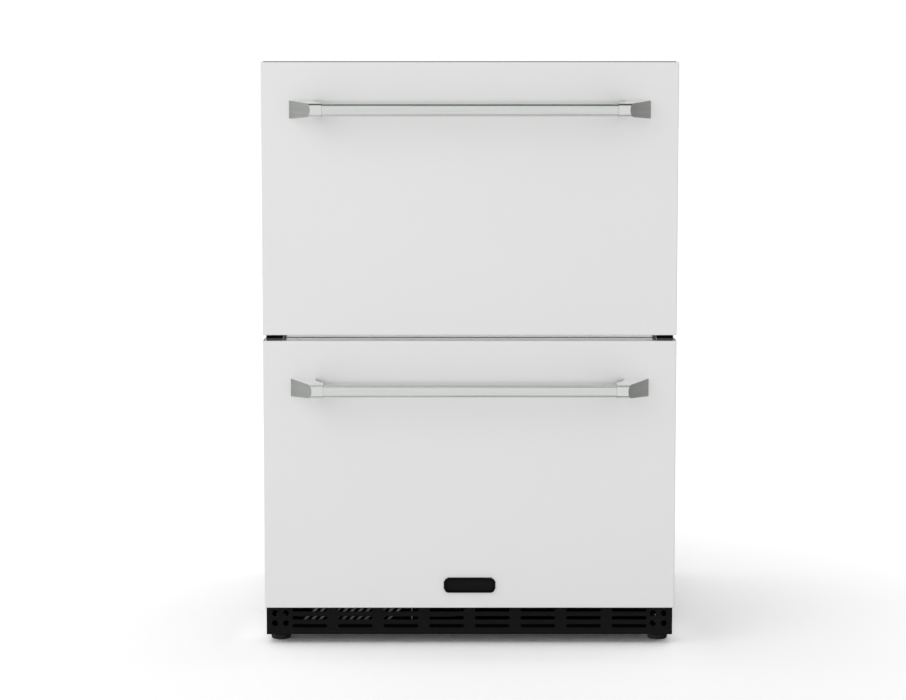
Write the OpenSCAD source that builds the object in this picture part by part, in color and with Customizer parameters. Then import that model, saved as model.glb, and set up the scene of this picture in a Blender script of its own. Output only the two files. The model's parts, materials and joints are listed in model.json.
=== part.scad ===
// Undercounter refrigerator with two full-width drawers, in millimetres.
// X runs to the right, the drawer fronts face -Y and Z is up. The origin is at floor level,
// under the middle of the overall box.

/* [Drawer fronts] */
// Width of each drawer front, and of the cabinet
front_w = 600; // [540:5:760]
// Height of each drawer front
front_h = 394; // [385:1:430]
// Thickness of each drawer front
front_t = 42; // [36:1:56]
// Gap between the two fronts
front_gap = 8; // [6:1:14]
// Height of the lower front's bottom edge above the floor
front_bottom = 61; // [60:1:75]
// Radius of the folded edges round each front
edge_r = 1.5; // [0.8:0.1:4]
// Thickness of the sheet that the fronts are folded from
skin_t = 1; // [0.8:0.1:1.5]
// Depth of the seal between a front and the cabinet
seal_t = 6; // [4:0.5:10]

/* [Handles] */
// Distance from a front's top edge down to its handle
handle_drop = 68; // [50:1:110]
// Overall length of a handle where it meets the front
handle_len = 520; // [420:5:530]
// Diameter of the handle bar
bar_d = 18; // [14:0.5:20]
// Distance from the front's face to the bar's centre
bar_stand_off = 46.5; // [40:0.5:60]
// Diameter of a bracket's rounded nose
nose_d = 20; // [20:0.5:24]
// Length of the nose along the bar
nose_len = 16.5; // [15:0.5:24]
// Length of a bracket's foot on the front
bracket_foot_len = 49.5; // [46:0.5:60]
// Height of a bracket's foot
bracket_foot_h = 26; // [24:0.5:36]
// Radius of the hollow on a bracket's inner side
scallop_r = 41; // [32:1:60]
// Distance from a bracket's inner end to its foot, which the hollow leaves open
foot_setback = 13; // [8:0.5:16]

/* [Cabinet] */
// Depth of the cabinet behind the seals
cabinet_d = 550; // [545:5:640]
// How far the cabinet's top stands above the upper front
top_reveal = 1; // [0.5:0.5:4]
// Thickness of the insulated side walls and ceiling
wall_t = 40; // [34:1:46]
// Thickness of the insulated back wall
back_wall_t = 45; // [42:1:55]
// Thickness of the insulated floor
floor_t = 38; // [30:1:46]
// Thickness of the outer sheet
sheet_t = 1; // [0.8:0.1:1.5]
// Thickness of the moulded liner
liner_t = 2; // [1.5:0.1:3]
// Radius of the liner's long corners
liner_r = 12; // [6:1:20]
// Height of the rail between the two drawers
rail_h = 40; // [32:1:44]
// Depth of the rail between the two drawers
rail_d = 40; // [30:1:60]
// Width of the black blocks at the ends of the gap between the fronts
end_block_w = 24.5; // [16:0.5:40]

/* [Base] */
// Height of the base's underside above the floor
base_bottom = 15; // [15:0.5:18]
// Thickness of the base pan
base_t = 2; // [1.5:0.5:3]
// Height of the air duct under the insulated floor
duct_h = 45; // [45:1:50]
// Depth from the cabinet's front to the step in the lower cavity
lower_cavity_d = 297; // [280:1:310]
// Inner height of the machine compartment
comp_h = 215; // [210:1:225]
// Thickness of the insulation round the machine compartment
comp_wall_t = 33; // [30:1:36]

/* [Kick grille] */
// Depth of the grille's face behind the fronts' face
kick_depth = 31; // [26:1:36]
// Thickness of the grille
kick_t = 2; // [1.5:0.5:3]
// Number of slots in a row
kick_columns = 8; // [4:2:8]
// Number of rows of slots
kick_rows = 3; // [2:1:3]
// Width of the grille's plain ends, which hold the round holes
kick_end_w = 30; // [28:0.5:40]
// Width of the webs between the slots of a row
kick_web = 16; // [10:0.5:24]
// Distance between rows
kick_row_pitch = 12; // [9:0.5:12]
// Height of a slot
kick_slot_h = 5.2; // [4:0.1:6]
// Diameter of the round holes at the grille's ends
kick_hole_d = 9; // [6:0.5:10]

/* [Feet] */
// Diameter of a foot's pad
foot_d = 29; // [24:1:34]
// Diameter of a foot's threaded stem
stem_d = 8; // [8:1:10]
// How far a foot screws out
foot_travel = 20; // [12:1:20]
// Length of the threaded sleeve in the base
socket_h = 20; // [14:1:22]

/* [Drawers] */
// Length of the slides
slide_len = 450; // [400:10:450]
// Height of the slides
slide_h = 45; // [45:1:50]
// Width of the slides
slide_w = 12.7; // [12.7:0.1:14]
// Thickness of the slides' steel
slide_t = 1.2; // [1:0.1:1.4]
// Thickness of the arms that carry a bin
arm_t = 2; // [1.5:0.1:3]
// Width of the ledge that a bin's rim hangs on
ledge_w = 8; // [7:0.5:12]
// Depth of the upper bin
upper_bin_h = 235; // [200:1:245]
// Depth of the lower bin
lower_bin_h = 265; // [240:1:270]
// Thickness of a bin's walls
bin_t = 2.5; // [2:0.1:4]
// Outer radius of a bin's upright corners
bin_r = 20; // [10:1:30]

/* [Cooling] */
// Outer diameter of the refrigerant tubes
tube_d = 8; // [6:0.5:9]
// Distance between the tubes' straight runs
run_pitch = 20; // [19:0.5:21]
// Distance between the condenser's fins
fin_pitch = 11.3; // [9:0.1:14]
// Thickness of a fin
fin_t = 0.8; // [0.5:0.1:1]
// How far the top of a condenser fin leans to the right
fin_lean = 36; // [0:1:40]
// Width of the folded front edge of a condenser fin
fin_edge_w = 4; // [3:0.5:6]
// Outer diameter of the condenser fan's wheel
condenser_fan_d = 140; // [110:1:150]
// Outer diameter of the evaporator fan's wheel
evaporator_fan_d = 84; // [60:1:90]
// Outer diameter of the compressor
compressor_d = 136; // [120:1:140]
// Height of the compressor
compressor_h = 148; // [130:1:150]

/* [Clearances] */
// Gap between a seal and the cabinet's frame
seal_clear = 0.3; // [0.3:0.1:1]
// Radial running clearance of balls, shafts and stems
run_clear = 0.05; // [0.03:0.01:0.1]
// Gap between rigid pieces that only seat on each other
seat_clear = 0.3; // [0.2:0.1:0.5]
// Gap round pieces that slide past their neighbours
slide_clear = 0.4; // [0.3:0.1:1]

/* [Hidden] */
$fn = 64;
lower = 0;
upper = 1;

// Heights.
cab_top = front_bottom + 2 * front_h + front_gap + top_reveal;
base_top = base_bottom + base_t;
duct_top = base_top + duct_h;
cav_floor = duct_top + floor_t;
cav_top = cab_top - wall_t;
rail_z = front_bottom + front_h + front_gap / 2;
rail_bottom = rail_z - rail_h / 2;
rail_top = rail_z + rail_h / 2;
comp_top = base_top + comp_h;
hump_top = comp_top + comp_wall_t;
function front_z(level) = front_bottom + level * (front_h + front_gap);
function handle_z(level) = front_z(level) + front_h - handle_drop;
function window_low(level) = level == lower ? cav_floor : rail_top;
function window_high(level) = level == lower ? rail_bottom : cav_top;

// Depths behind the fronts' face, which is the plane y = 0 until a piece is put in place.
cab_front = front_t + seal_t;
cab_back = cab_front + cabinet_d;
cav_back = cab_back - back_wall_t;
hump_front = cab_front + lower_cavity_d;
comp_front = hump_front + comp_wall_t;
comp_back = cab_back - sheet_t;
frame_back = cab_front + sheet_t;
handle_reach = bar_stand_off + nose_d / 2;
overall_d = handle_reach + cab_back;
face_y = handle_reach - overall_d / 2;

// Widths from the middle.
cab_half = front_w / 2;
cav_half = cab_half - wall_t;
slide_in = cav_half - slide_w;
arm_in = slide_in - arm_t;

// Drawers.
bin_floor_clear = 12;
rim_t = 3;
plug_depth = 16;
plug_clear = 10;
bin_front = cab_front + plug_depth;
arm_front = frame_back + plug_depth - seal_t - sheet_t;
bin_half = arm_in - ledge_w - slide_clear;
function bin_bottom(level) = window_low(level) + bin_floor_clear;
function bin_top(level) = bin_bottom(level) + (level == lower ? lower_bin_h : upper_bin_h);
function bin_back(level) = level == lower ? hump_front - 20 : cav_back - evap_d - 17;
function ledge_z(level) = bin_top(level) - rim_t;
function slide_z(level) = ledge_z(level) - arm_t - slide_h / 2;
slide_front = arm_front + 2;

// Slide profile, measured from the cabinet wall inwards (u) and up from the slide's middle (v).
outer_ball_r = 2.2;
inner_ball_r = 1.5;
groove = 0.25;
outer_flange_v = slide_h / 2 - slide_t;
outer_ball_v = outer_flange_v - outer_ball_r + groove / 2;
middle_v = outer_ball_v - outer_ball_r + groove;
middle_inner_v = middle_v - slide_t;
inner_ball_v = middle_inner_v - inner_ball_r + groove / 2;
inner_v = inner_ball_v - inner_ball_r + groove;
outer_ball_u = 6.5;
inner_ball_u = 7.6;
middle_web_u = 3.2;
ball_count = 6;
ball_margin = 12;

// Cooling.
evap_d = 36;
evap_fin_pitch = 14;
cover_half = cav_half - 35;
evap_half = cover_half - 55;
cover_low = rail_top + 18;
cover_high = cav_top - 8;
evap_low = cover_low + 25;
evap_fan_z = cover_high - evaporator_fan_d / 2 - 16;
evap_room = evap_fan_z - evaporator_fan_d / 2 - evap_low;
evap_runs = 2 * floor((evap_room / run_pitch + 0.5) / 2);
tube_r = tube_d / 2;
capillary_r = 1.5;
bend_r = run_pitch / 2;
evap_y = cav_back - evap_d / 2;
cond_left = -cav_half - 2;
cond_right = -62;
cond_front = cab_front + 18;
cond_runs = 4;
cond_z = base_top + 15;
cond_y = cond_front + 12;
partition_x = -86.5;
partition_t = 1.5;
comp_mid_y = (comp_front + comp_back) / 2;
fan_z = base_top + comp_h / 2;
compressor_x = 110;
compressor_y = comp_front + compressor_d / 2 + 24;
grommet_h = 10;
plate_t = 3;
compressor_z = base_top + grommet_h;
line_z = cond_z + run_pitch;
suction_z = base_top + 50;
line_wall_y = cav_back + liner_t + (comp_back - cav_back - liner_t) / 2;
suction_x = cover_half - 30;
capillary_x = cover_half - 8;
drier_r = 9;
drier_y = comp_front - 170;
drier_len = 90;
liquid_x = -18;
discharge_x = -40;

// Controls.
control_half = 100;
control_h = 22;
control_d = 48;
control_y = bin_front;
control_z = cav_top - control_h / 2;
button_d = 9;
button_travel = 1;
button_proud = 1.6;
button_depth = 6;
function button_x(index) = [-78, -52, 52, 78][index];
lamp_half = cav_half - 140;
lamp_w = 22;
lamp_h = 8;

// Feet.
foot_h = base_bottom - 0.5;
foot_x = cab_half - 18.5;
foot_front_y = cab_front + 27;
foot_back_y = cab_back - 45;

// ---- Shared shapes ----

// Moves a piece from the fronts' plane to its place in the overall box.
module place() {
    translate([0, face_y, 0]) children();
}

module both_sides() {
    children();
    mirror([1, 0, 0]) children();
}

// A box between two corners.
module block(low, high) {
    translate(low) cube(high - low);
}

module rounded_rect(w, h, r) {
    square([w - 2 * r, h], center = true);
    square([w, h - 2 * r], center = true);
    for (x = [-1, 1], y = [-1, 1]) translate([x * (w / 2 - r), y * (h / 2 - r)]) circle(r);
}

module slot(len, h) {
    square([len - h, h], center = true);
    for (x = [-1, 1]) translate([x * (len - h) / 2, 0]) circle(h / 2);
}

// A ring between two rounded rectangles.
module rounded_ring(w, h, r, band) {
    difference() {
        rounded_rect(w, h, r);
        rounded_rect(w - 2 * band, h - 2 * band, max(r - band, 0.5));
    }
}

// Turns an outline drawn in x and z into a plate from depth y1 to y2.
module upright(y1, y2) {
    translate([0, y2, 0]) rotate([90, 0, 0]) linear_extrude(y2 - y1) children();
}

// Turns an outline drawn in y and z into a plate from x1 to x2.
module sideways(x1, x2) {
    translate([x1, 0, 0]) rotate([90, 0, 90]) linear_extrude(x2 - x1) children();
}

// A rectangle behind the x axis with its two front corners rounded.
module rounded_front(span, depth, r) {
    translate([-span / 2, r]) square([span, depth - r]);
    translate([r - span / 2, 0]) square([span - 2 * r, depth]);
    for (x = [-1, 1]) translate([x * (span / 2 - r), r]) circle(r);
}

// A slab with all four edges of its front face rounded.
module front_slab(w, h, depth, r) {
    intersection() {
        linear_extrude(h, center = true) rounded_front(w, depth, r);
        rotate([0, -90, 0]) linear_extrude(w, center = true) rounded_front(h, depth, r);
    }
}

function unit(v) = v / norm(v);

// A round rod from one point to another.
module rod(from, to, r) {
    span = to - from;
    if (norm(span) > 0.01)
        translate(from) rotate([0, acos(span.z / norm(span)), atan2(span.y, span.x)])
            cylinder(norm(span), r, r);
}

// A bent tube through square corners, each turned at the same bend radius.
module pipe(points, r, bend = bend_r) {
    last = len(points) - 1;
    for (i = [0 : last - 1]) {
        along = unit(points[i + 1] - points[i]);
        rod(points[i] + along * (i == 0 ? 0 : bend),
            points[i + 1] - along * (i + 1 == last ? 0 : bend), r);
    }
    for (i = [1 : last - 1]) {
        into = unit(points[i] - points[i - 1]);
        out = unit(points[i + 1] - points[i]);
        centre = points[i] + (out - into) * bend;
        turn = cross(-out, into);
        multmatrix([[-out.x, into.x, turn.x, centre.x],
            [-out.y, into.y, turn.y, centre.y],
            [-out.z, into.z, turn.z, centre.z],
            [0, 0, 0, 1]])
            rotate_extrude(angle = 90) translate([bend, 0]) circle(r, $fn = 24);
    }
}

shaft_r = 2;
fan_gap = 2;
blades = 5;
function shaft_len(hub_h) = fan_gap + hub_h - 5;

// A fan wheel on the z axis: a domed hub with a blind bore behind, and cambered blades.
module fan_wheel(tip_r, hub_r, hub_h, pitch) {
    camber_r = hub_h * 2.2;
    chord = hub_h * 1.5;
    difference() {
        union() {
            translate([0, 0, -hub_h / 2]) cylinder(hub_h - 3, hub_r, hub_r);
            translate([0, 0, hub_h / 2 - 3]) rotate_extrude() intersection() {
                translate([hub_r - 3, 0]) circle(3);
                square([hub_r, 3]);
            }
            translate([0, 0, hub_h / 2 - 3]) cylinder(3, hub_r - 3, hub_r - 3);
            intersection() {
                translate([0, 0, -hub_h]) cylinder(2 * hub_h, tip_r, tip_r);
                for (i = [0 : blades - 1]) rotate(i * 360 / blades)
                    rotate([90, 0, 90]) rotate(pitch) translate([0, 0, hub_r - 2])
                        linear_extrude(tip_r) intersection() {
                            translate([0, -camber_r]) difference() {
                                circle(camber_r + 1);
                                circle(camber_r - 0.8);
                            }
                            translate([-chord / 2, -chord / 2]) square([chord, chord]);
                        }
            }
        }
        translate([0, 0, -hub_h / 2 - 1]) cylinder(hub_h - 3, shaft_r + run_clear, shaft_r + run_clear);
    }
}

// A motor below the z plane, with its shaft pointing up the z axis.
module fan_motor(r, h, reach) {
    translate([0, 0, -h]) rotate_extrude() intersection() {
        translate([0, h / 2]) rounded_rect(2 * r, h, 3);
        square([r, h]);
    }
    for (a = [0 : 30 : 330]) rotate(a) translate([r - 0.4, 0, -h * 0.7]) cylinder(h * 0.4, 1, 1);
    cylinder(reach, shaft_r, shaft_r);
}

// ---- Cabinet ----

// The space inside the cabinet with the step over the machine compartment, grown all round but
// open at the front.
module cavity(grow, from) {
    mid_z = (cav_floor + cav_top) / 2;
    intersection() {
        sideways(-cab_half, cab_half) polygon([
            [from, cav_floor - grow], [hump_front + grow, cav_floor - grow],
            [hump_front + grow, hump_top - grow], [cav_back + grow, hump_top - grow],
            [cav_back + grow, cav_top + grow], [from, cav_top + grow]]);
        translate([0, 0, mid_z]) upright(from, cab_back)
            rounded_rect(2 * (cav_half + grow), cav_top - cav_floor + 2 * grow, liner_r + grow);
    }
}

// The copper lines' way through the back wall.
module line_paths(clear) {
    pipe([[evap_half + bend_r, evap_y, evap_low + (evap_runs - 1) * run_pitch],
        [suction_x, evap_y, evap_low + (evap_runs - 1) * run_pitch],
        [suction_x, line_wall_y, evap_low + (evap_runs - 1) * run_pitch],
        [suction_x, line_wall_y, suction_z],
        [compressor_x, line_wall_y, suction_z],
        [compressor_x, compressor_y + compressor_d / 2 + 8, suction_z]], tube_r + clear, 9);
    pipe([[evap_half + bend_r, evap_y, evap_low],
        [capillary_x, evap_y, evap_low],
        [capillary_x, line_wall_y, evap_low],
        [capillary_x, line_wall_y, cond_z],
        [liquid_x, line_wall_y, cond_z],
        [liquid_x, drier_y + drier_len, cond_z]], capillary_r + clear, 6);
}

back_flange = 12;

// The sides and top in one folded sheet, with a flange turned in behind.
module outer_casing() {
    color("gainsboro") place() difference() {
        block([-cab_half, frame_back, base_bottom], [cab_half, cab_back, cab_top]);
        block([sheet_t - cab_half, frame_back - 1, base_bottom - 1],
            [cab_half - sheet_t, comp_back, cab_top - sheet_t]);
        block([back_flange - cab_half, comp_back - 1, base_bottom - 1],
            [cab_half - back_flange, cab_back + 1, cab_top - back_flange]);
    }
}

// A plain sheet over the insulation, and a vented cover over the machine compartment.
module back_panel() {
    edge = back_flange + seat_clear;
    half = cab_half - edge;
    vent_w = half / 3;
    seam = 1;
    seam_z = comp_top + comp_wall_t / 2;
    color("silver") place() upright(comp_back, cab_back) {
        translate([-half, seam_z + seam]) square([2 * half, cab_top - edge - seam_z - seam]);
        difference() {
            translate([-half, base_bottom]) square([2 * half, seam_z - base_bottom]);
            for (i = [-1 : 1], row = [0 : 7])
                translate([i * (vent_w + 40), base_top + 48 + row * 18]) slot(vent_w, 5);
            translate([gland_x, gland_z]) circle(gland_r);
        }
    }
}
gland_x = cab_half - 50;
gland_z = base_top + 45;
gland_r = 8;

// The floor of the machine compartment and the duct, with turned-up edges and holes for the feet.
module base_pan() {
    lip = 10;
    color("dimgray") place() difference() {
        block([sheet_t - cab_half, frame_back, base_bottom],
            [cab_half - sheet_t, comp_back, base_top + lip]);
        block([sheet_t + base_t - cab_half, frame_back + base_t, base_top],
            [cab_half - sheet_t - base_t, comp_back - base_t, base_top + lip + 1]);
        foot_places() translate([0, 0, base_bottom - 1])
            cylinder(base_t + 2, stem_d / 2 + 1, stem_d / 2 + 1);
    }
}

module foam_insulation() {
    color("khaki") place() difference() {
        block([sheet_t - cab_half, frame_back, duct_top],
            [cab_half - sheet_t, comp_back, cab_top - sheet_t]);
        cavity(liner_t, frame_back - 1);
        block([-cab_half, comp_front, duct_top - 1], [cab_half, comp_back + 1, comp_top]);
        line_paths(seat_clear);
    }
}

module inner_liner() {
    color("whitesmoke") place() difference() {
        cavity(liner_t, frame_back);
        cavity(0, frame_back - 1);
        line_paths(seat_clear);
    }
}

// The stainless front of the cabinet, with one window for each drawer.
module face_frame() {
    color("lightgray") place() upright(cab_front, frame_back) difference() {
        translate([-cab_half, duct_top]) square([2 * cab_half, cab_top - duct_top]);
        for (level = [lower, upper])
            translate([0, (window_low(level) + window_high(level)) / 2])
                rounded_rect(2 * cav_half, window_high(level) - window_low(level), liner_r);
    }
}

// A folded steel channel across the cabinet, with end flanges on the liner.
module centre_rail() {
    rail_t = 1.5;
    flange = 16;
    color("silver") place() {
        difference() {
            block([-cav_half, frame_back, rail_bottom], [cav_half, cab_front + rail_d, rail_top]);
            block([rail_t - cav_half, frame_back + rail_t, rail_bottom + rail_t],
                [cav_half - rail_t, cab_front + rail_d + 1, rail_top - rail_t]);
        }
        for (z = [rail_bottom, rail_top - flange])
            block([rail_t - cav_half, cab_front + rail_d - rail_t, z],
                [cav_half - rail_t, cab_front + rail_d, z + flange]);
    }
}

// Stepped black blocks that close the ends of the gap between the fronts.
module gap_end_blocks() {
    gap_low = rail_z - front_gap / 2 + slide_clear;
    gap_high = rail_z + front_gap / 2 - slide_clear;
    step_z = (gap_low + gap_high) / 2;
    lower_y = edge_r / 2;
    upper_y = lower_y + 8;
    right = cab_half - 4.5;
    color("#181818") place() both_sides() {
        block([right - end_block_w, lower_y, gap_low], [right, cab_front, step_z]);
        block([right - end_block_w, upper_y, step_z], [right, cab_front, gap_high]);
    }
}

// ---- Base ----

// A black grille with side returns, slots along the middle and round holes at the ends.
module kick_grille() {
    low = base_bottom - seat_clear;
    high = min(front_bottom, duct_top) - 2;
    first_row = low + 12.8;
    hole_xs = [12.5, 28.5];
    hole_zs = [16.8, 31.8];
    rim = 8;
    pitch = (front_w - 2 * kick_end_w) / kick_columns;
    color("#1c1c1c") place() {
        upright(kick_depth, kick_depth + kick_t) difference() {
            translate([-cab_half, low]) square([2 * cab_half, high - low]);
            for (column = [0 : kick_columns - 1], row = [0 : kick_rows - 1])
                translate([(column - (kick_columns - 1) / 2) * pitch, first_row + row * kick_row_pitch])
                    slot(pitch - kick_web, kick_slot_h);
            for (side = [-1, 1], x = hole_xs, z = hole_zs)
                translate([side * (cab_half - x), low + z]) circle(kick_hole_d / 2);
        }
        both_sides() difference() {
            block([cab_half - kick_t, kick_depth, low], [cab_half, frame_back, high]);
            block([cab_half - kick_t - 1, kick_depth + kick_t + rim / 2, low + rim],
                [cab_half + 1, cab_front - rim / 2, high - rim]);
        }
        block([-cab_half, kick_depth, high - kick_t], [cab_half, frame_back, high]);
    }
}

module foot_places() {
    for (x = [-foot_x, foot_x], y = [foot_front_y, foot_back_y]) translate([x, y, 0]) children();
}

// Threaded sleeves on flanges, one over each foot.
module foot_sockets() {
    color("silver") place() foot_places() difference() {
        union() {
            translate([0, 0, base_top]) cylinder(3, 13, 13);
            translate([0, 0, base_top]) cylinder(socket_h, 8, 8);
        }
        translate([0, 0, base_top - 1])
            cylinder(socket_h + 2, stem_d / 2 + run_clear, stem_d / 2 + run_clear);
    }
}

// A round pad with a hexagon for a spanner and a long stem.
module foot(x, y) {
    pad_h = foot_h * 0.62;
    round_r = 2.5;
    color("#202020") place() translate([x, y, 0]) {
        rotate_extrude() {
            square([foot_d / 2 - round_r, pad_h]);
            translate([0, round_r]) square([foot_d / 2, pad_h - 2 * round_r]);
            for (z = [round_r, pad_h - round_r]) translate([foot_d / 2 - round_r, z]) circle(round_r);
        }
        cylinder(foot_h, foot_d * 0.36, foot_d * 0.36, $fn = 6);
        cylinder(base_top + socket_h + foot_travel, stem_d / 2, stem_d / 2);
    }
}

// ---- Machinery in the base ----

function condenser_run(i) = cond_y + i * run_pitch;

// The condenser's tube: one flat serpentine over another, in and out at the right.
module condenser_coil() {
    left = cond_left;
    right = cond_right;
    low_runs = [for (i = [0 : cond_runs - 1]) each
        i % 2 == 0 ? [[right, condenser_run(i), cond_z], [left, condenser_run(i), cond_z]]
            : [[left, condenser_run(i), cond_z], [right, condenser_run(i), cond_z]]];
    high_runs = [for (i = [cond_runs - 1 : -1 : 0]) each
        i % 2 == 1 ? [[right, condenser_run(i), line_z], [left, condenser_run(i), line_z]]
            : [[left, condenser_run(i), line_z], [right, condenser_run(i), line_z]]];
    color("#b87340") place() pipe(concat(low_runs, high_runs), tube_r);
}

// Leaning fins with folded front edges, threaded on the condenser's tubes.
module condenser_fins() {
    low = base_top + 9;
    high = duct_top - 3;
    fins_left = cond_left + bend_r + fin_edge_w;
    fins_right = partition_x - seat_clear - fin_t;
    fin_count = floor((fins_right - fin_lean - fins_left) / fin_pitch);
    fin_l = (cond_runs - 1) * run_pitch + 24;
    color("silver") place() difference() {
        for (i = [0 : fin_count]) translate([fins_left + i * fin_pitch, cond_front, 0]) {
            upright(0, fin_l)
                polygon([[0, low], [fin_t, low], [fin_t + fin_lean, high], [fin_lean, high]]);
            upright(0, fin_t) polygon([[-fin_edge_w, low], [fin_t, low],
                [fin_t + fin_lean, high], [fin_lean - fin_edge_w, high]]);
        }
        for (run = [0 : cond_runs - 1], z = [cond_z, line_z])
            rod([cond_left, condenser_run(run), z], [cond_right, condenser_run(run), z], tube_r + run_clear);
    }
}

// The sheet that parts the air going in from the air going out, with the fan's ring and motor arms.
module air_partition() {
    ring_r = condenser_fan_d / 2 + 3;
    color("gainsboro") place() difference() {
        union() {
            sideways(partition_x, partition_x + partition_t) polygon([
                [cond_front, base_top], [comp_back - base_t - seat_clear, base_top],
                [comp_back - base_t - seat_clear, comp_top - seat_clear],
                [comp_front + seat_clear, comp_top - seat_clear],
                [comp_front + seat_clear, duct_top - seat_clear], [cond_front, duct_top - seat_clear]]);
            translate([partition_x - 10, comp_mid_y, fan_z]) rotate([0, 90, 0])
                cylinder(22, ring_r + 2, ring_r + 2);
        }
        translate([partition_x - 11, comp_mid_y, fan_z]) rotate([0, 90, 0]) cylinder(24, ring_r, ring_r);
        for (run = [0 : cond_runs - 1], z = [cond_z, line_z])
            translate([partition_x - 1, condenser_run(run), z]) rotate([0, 90, 0])
                cylinder(4, tube_r + run_clear, tube_r + run_clear);
    }
    color("gainsboro") place() translate([partition_x - 10, comp_mid_y, fan_z]) {
        rotate([0, 90, 0]) difference() {
            union() {
                cylinder(3, motor_r + 4, motor_r + 4);
                for (a = [30, 150, 270]) rotate(a) translate([0, -5, 0]) cube([ring_r + 1, 10, 3]);
            }
            translate([0, 0, -1]) cylinder(5, motor_r + run_clear, motor_r + run_clear);
        }
    }
}

motor_r = 20;
motor_h = 34;
motor_x = partition_x - 8;
hub_r = 22;
hub_h = 18;

module condenser_fan_motor() {
    color("dimgray") place() translate([motor_x, comp_mid_y, fan_z]) rotate([0, 90, 0])
        fan_motor(motor_r, motor_h, shaft_len(hub_h));
}

module condenser_fan_wheel() {
    color("#303030") place() translate([motor_x + fan_gap + hub_h / 2, comp_mid_y, fan_z])
        rotate([0, 90, 0]) fan_wheel(condenser_fan_d / 2, hub_r, hub_h, 26);
}

// A sealed pot on a sheet foot, with stub tubes for the lines.
module compressor() {
    pot_r = compressor_d / 2;
    dome_r = 44;
    foot_w = compressor_d + 34;
    foot_l = compressor_d - 6;
    color("#2a2a2a") place() translate([compressor_x, compressor_y, compressor_z]) {
        difference() {
            linear_extrude(plate_t) rounded_rect(foot_w, foot_l, 16);
            grommet_places() translate([0, 0, -1]) cylinder(plate_t + 2, 7 + seat_clear, 7 + seat_clear);
        }
        rotate_extrude() intersection() {
            translate([0, compressor_h / 2]) rounded_rect(compressor_d, compressor_h, dome_r);
            square([pot_r, compressor_h]);
        }
        translate([0, 0, compressor_h * 0.55]) cylinder(3, pot_r + 1.5, pot_r + 1.5);
        rod([0, 0, suction_z - compressor_z], [0, pot_r + 8, suction_z - compressor_z], tube_r + 1.5);
        rod([0, 0, line_z - compressor_z], [-pot_r - 8, 0, line_z - compressor_z], tube_r + 1.5);
    }
}

module grommet_places() {
    for (x = [-1, 1], y = [-1, 1])
        translate([x * (compressor_d / 2 + 3), y * (compressor_d / 2 - 20), 0]) children();
}

// Rubber grommets that carry the compressor's foot in their grooves.
module compressor_grommets() {
    color("#151515") place() translate([compressor_x, compressor_y, base_top]) grommet_places() {
        cylinder(grommet_h - seat_clear, 11, 11);
        cylinder(grommet_h + plate_t + 4, 7, 7);
        translate([0, 0, grommet_h + plate_t + seat_clear]) cylinder(3, 9, 9);
    }
}

// The moulded cover over the compressor's terminals.
module relay_cover() {
    color("#3a3a3a") place() difference() {
        translate([compressor_x, compressor_y, compressor_z + 40]) linear_extrude(62)
            translate([compressor_d / 2 + 2, 0]) rounded_rect(44, 56, 5);
        translate([compressor_x, compressor_y, compressor_z])
            cylinder(compressor_h, compressor_d / 2 + 1.5 + seat_clear, compressor_d / 2 + 1.5 + seat_clear);
    }
}

// An open tray on top of the compressor, where the defrost water dries.
module drain_pan() {
    pan_w = compressor_d + 14;
    pan_l = compressor_d - 16;
    pan_h = 20;
    pan_t = 2;
    pan_r = 12;
    color("#454545") place() translate([compressor_x, compressor_y, compressor_z + compressor_h])
        difference() {
            linear_extrude(pan_h) rounded_rect(pan_w, pan_l, pan_r);
            translate([0, 0, pan_t]) linear_extrude(pan_h)
                rounded_rect(pan_w - 2 * pan_t, pan_l - 2 * pan_t, pan_r - pan_t);
        }
}

module filter_drier() {
    color("#c08552") place() translate([liquid_x, drier_y, cond_z]) rotate([-90, 0, 0])
        rotate_extrude() polygon([[0, 0], [tube_r + 1, 0], [tube_r + 1, 6], [drier_r, 14],
            [drier_r, drier_len - 20], [capillary_r + 1.5, drier_len - 6],
            [capillary_r + 1.5, drier_len], [0, drier_len]]);
}

// The hot line, the liquid line, the capillary and the suction line.
module refrigerant_lines() {
    color("#b87340") place() {
        pipe([[cond_right, cond_y, line_z], [discharge_x, cond_y, line_z],
            [discharge_x, compressor_y, line_z],
            [compressor_x - compressor_d / 2 - 8, compressor_y, line_z]], tube_r);
        pipe([[cond_right, cond_y, cond_z], [liquid_x, cond_y, cond_z],
            [liquid_x, drier_y, cond_z]], tube_r);
        line_paths(0);
    }
}

// ---- Evaporator ----

module evaporator_coil() {
    runs = [for (i = [0 : evap_runs - 1]) each
        i % 2 == 0 ? [[1, i], [-1, i]] : [[-1, i], [1, i]]];
    points = [for (run = runs)
        [run[0] * (evap_half + bend_r), evap_y, evap_low + run[1] * run_pitch]];
    color("#b87340") place() pipe(points, tube_r);
}

module evaporator_fins() {
    fin_w = 24;
    count = floor((2 * evap_half - 8) / evap_fin_pitch / 2);
    color("silver") place() difference() {
        for (i = [-count : count]) translate([i * evap_fin_pitch, 0, 0])
            block([-fin_t / 2, evap_y - fin_w / 2, evap_low - run_pitch / 2],
                [fin_t / 2, evap_y + fin_w / 2, evap_low + (evap_runs - 0.5) * run_pitch]);
        for (i = [0 : evap_runs - 1]) translate([0, evap_y, evap_low + i * run_pitch])
            rod([-evap_half, 0, 0], [evap_half, 0, 0], tube_r + run_clear);
    }
}

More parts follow.
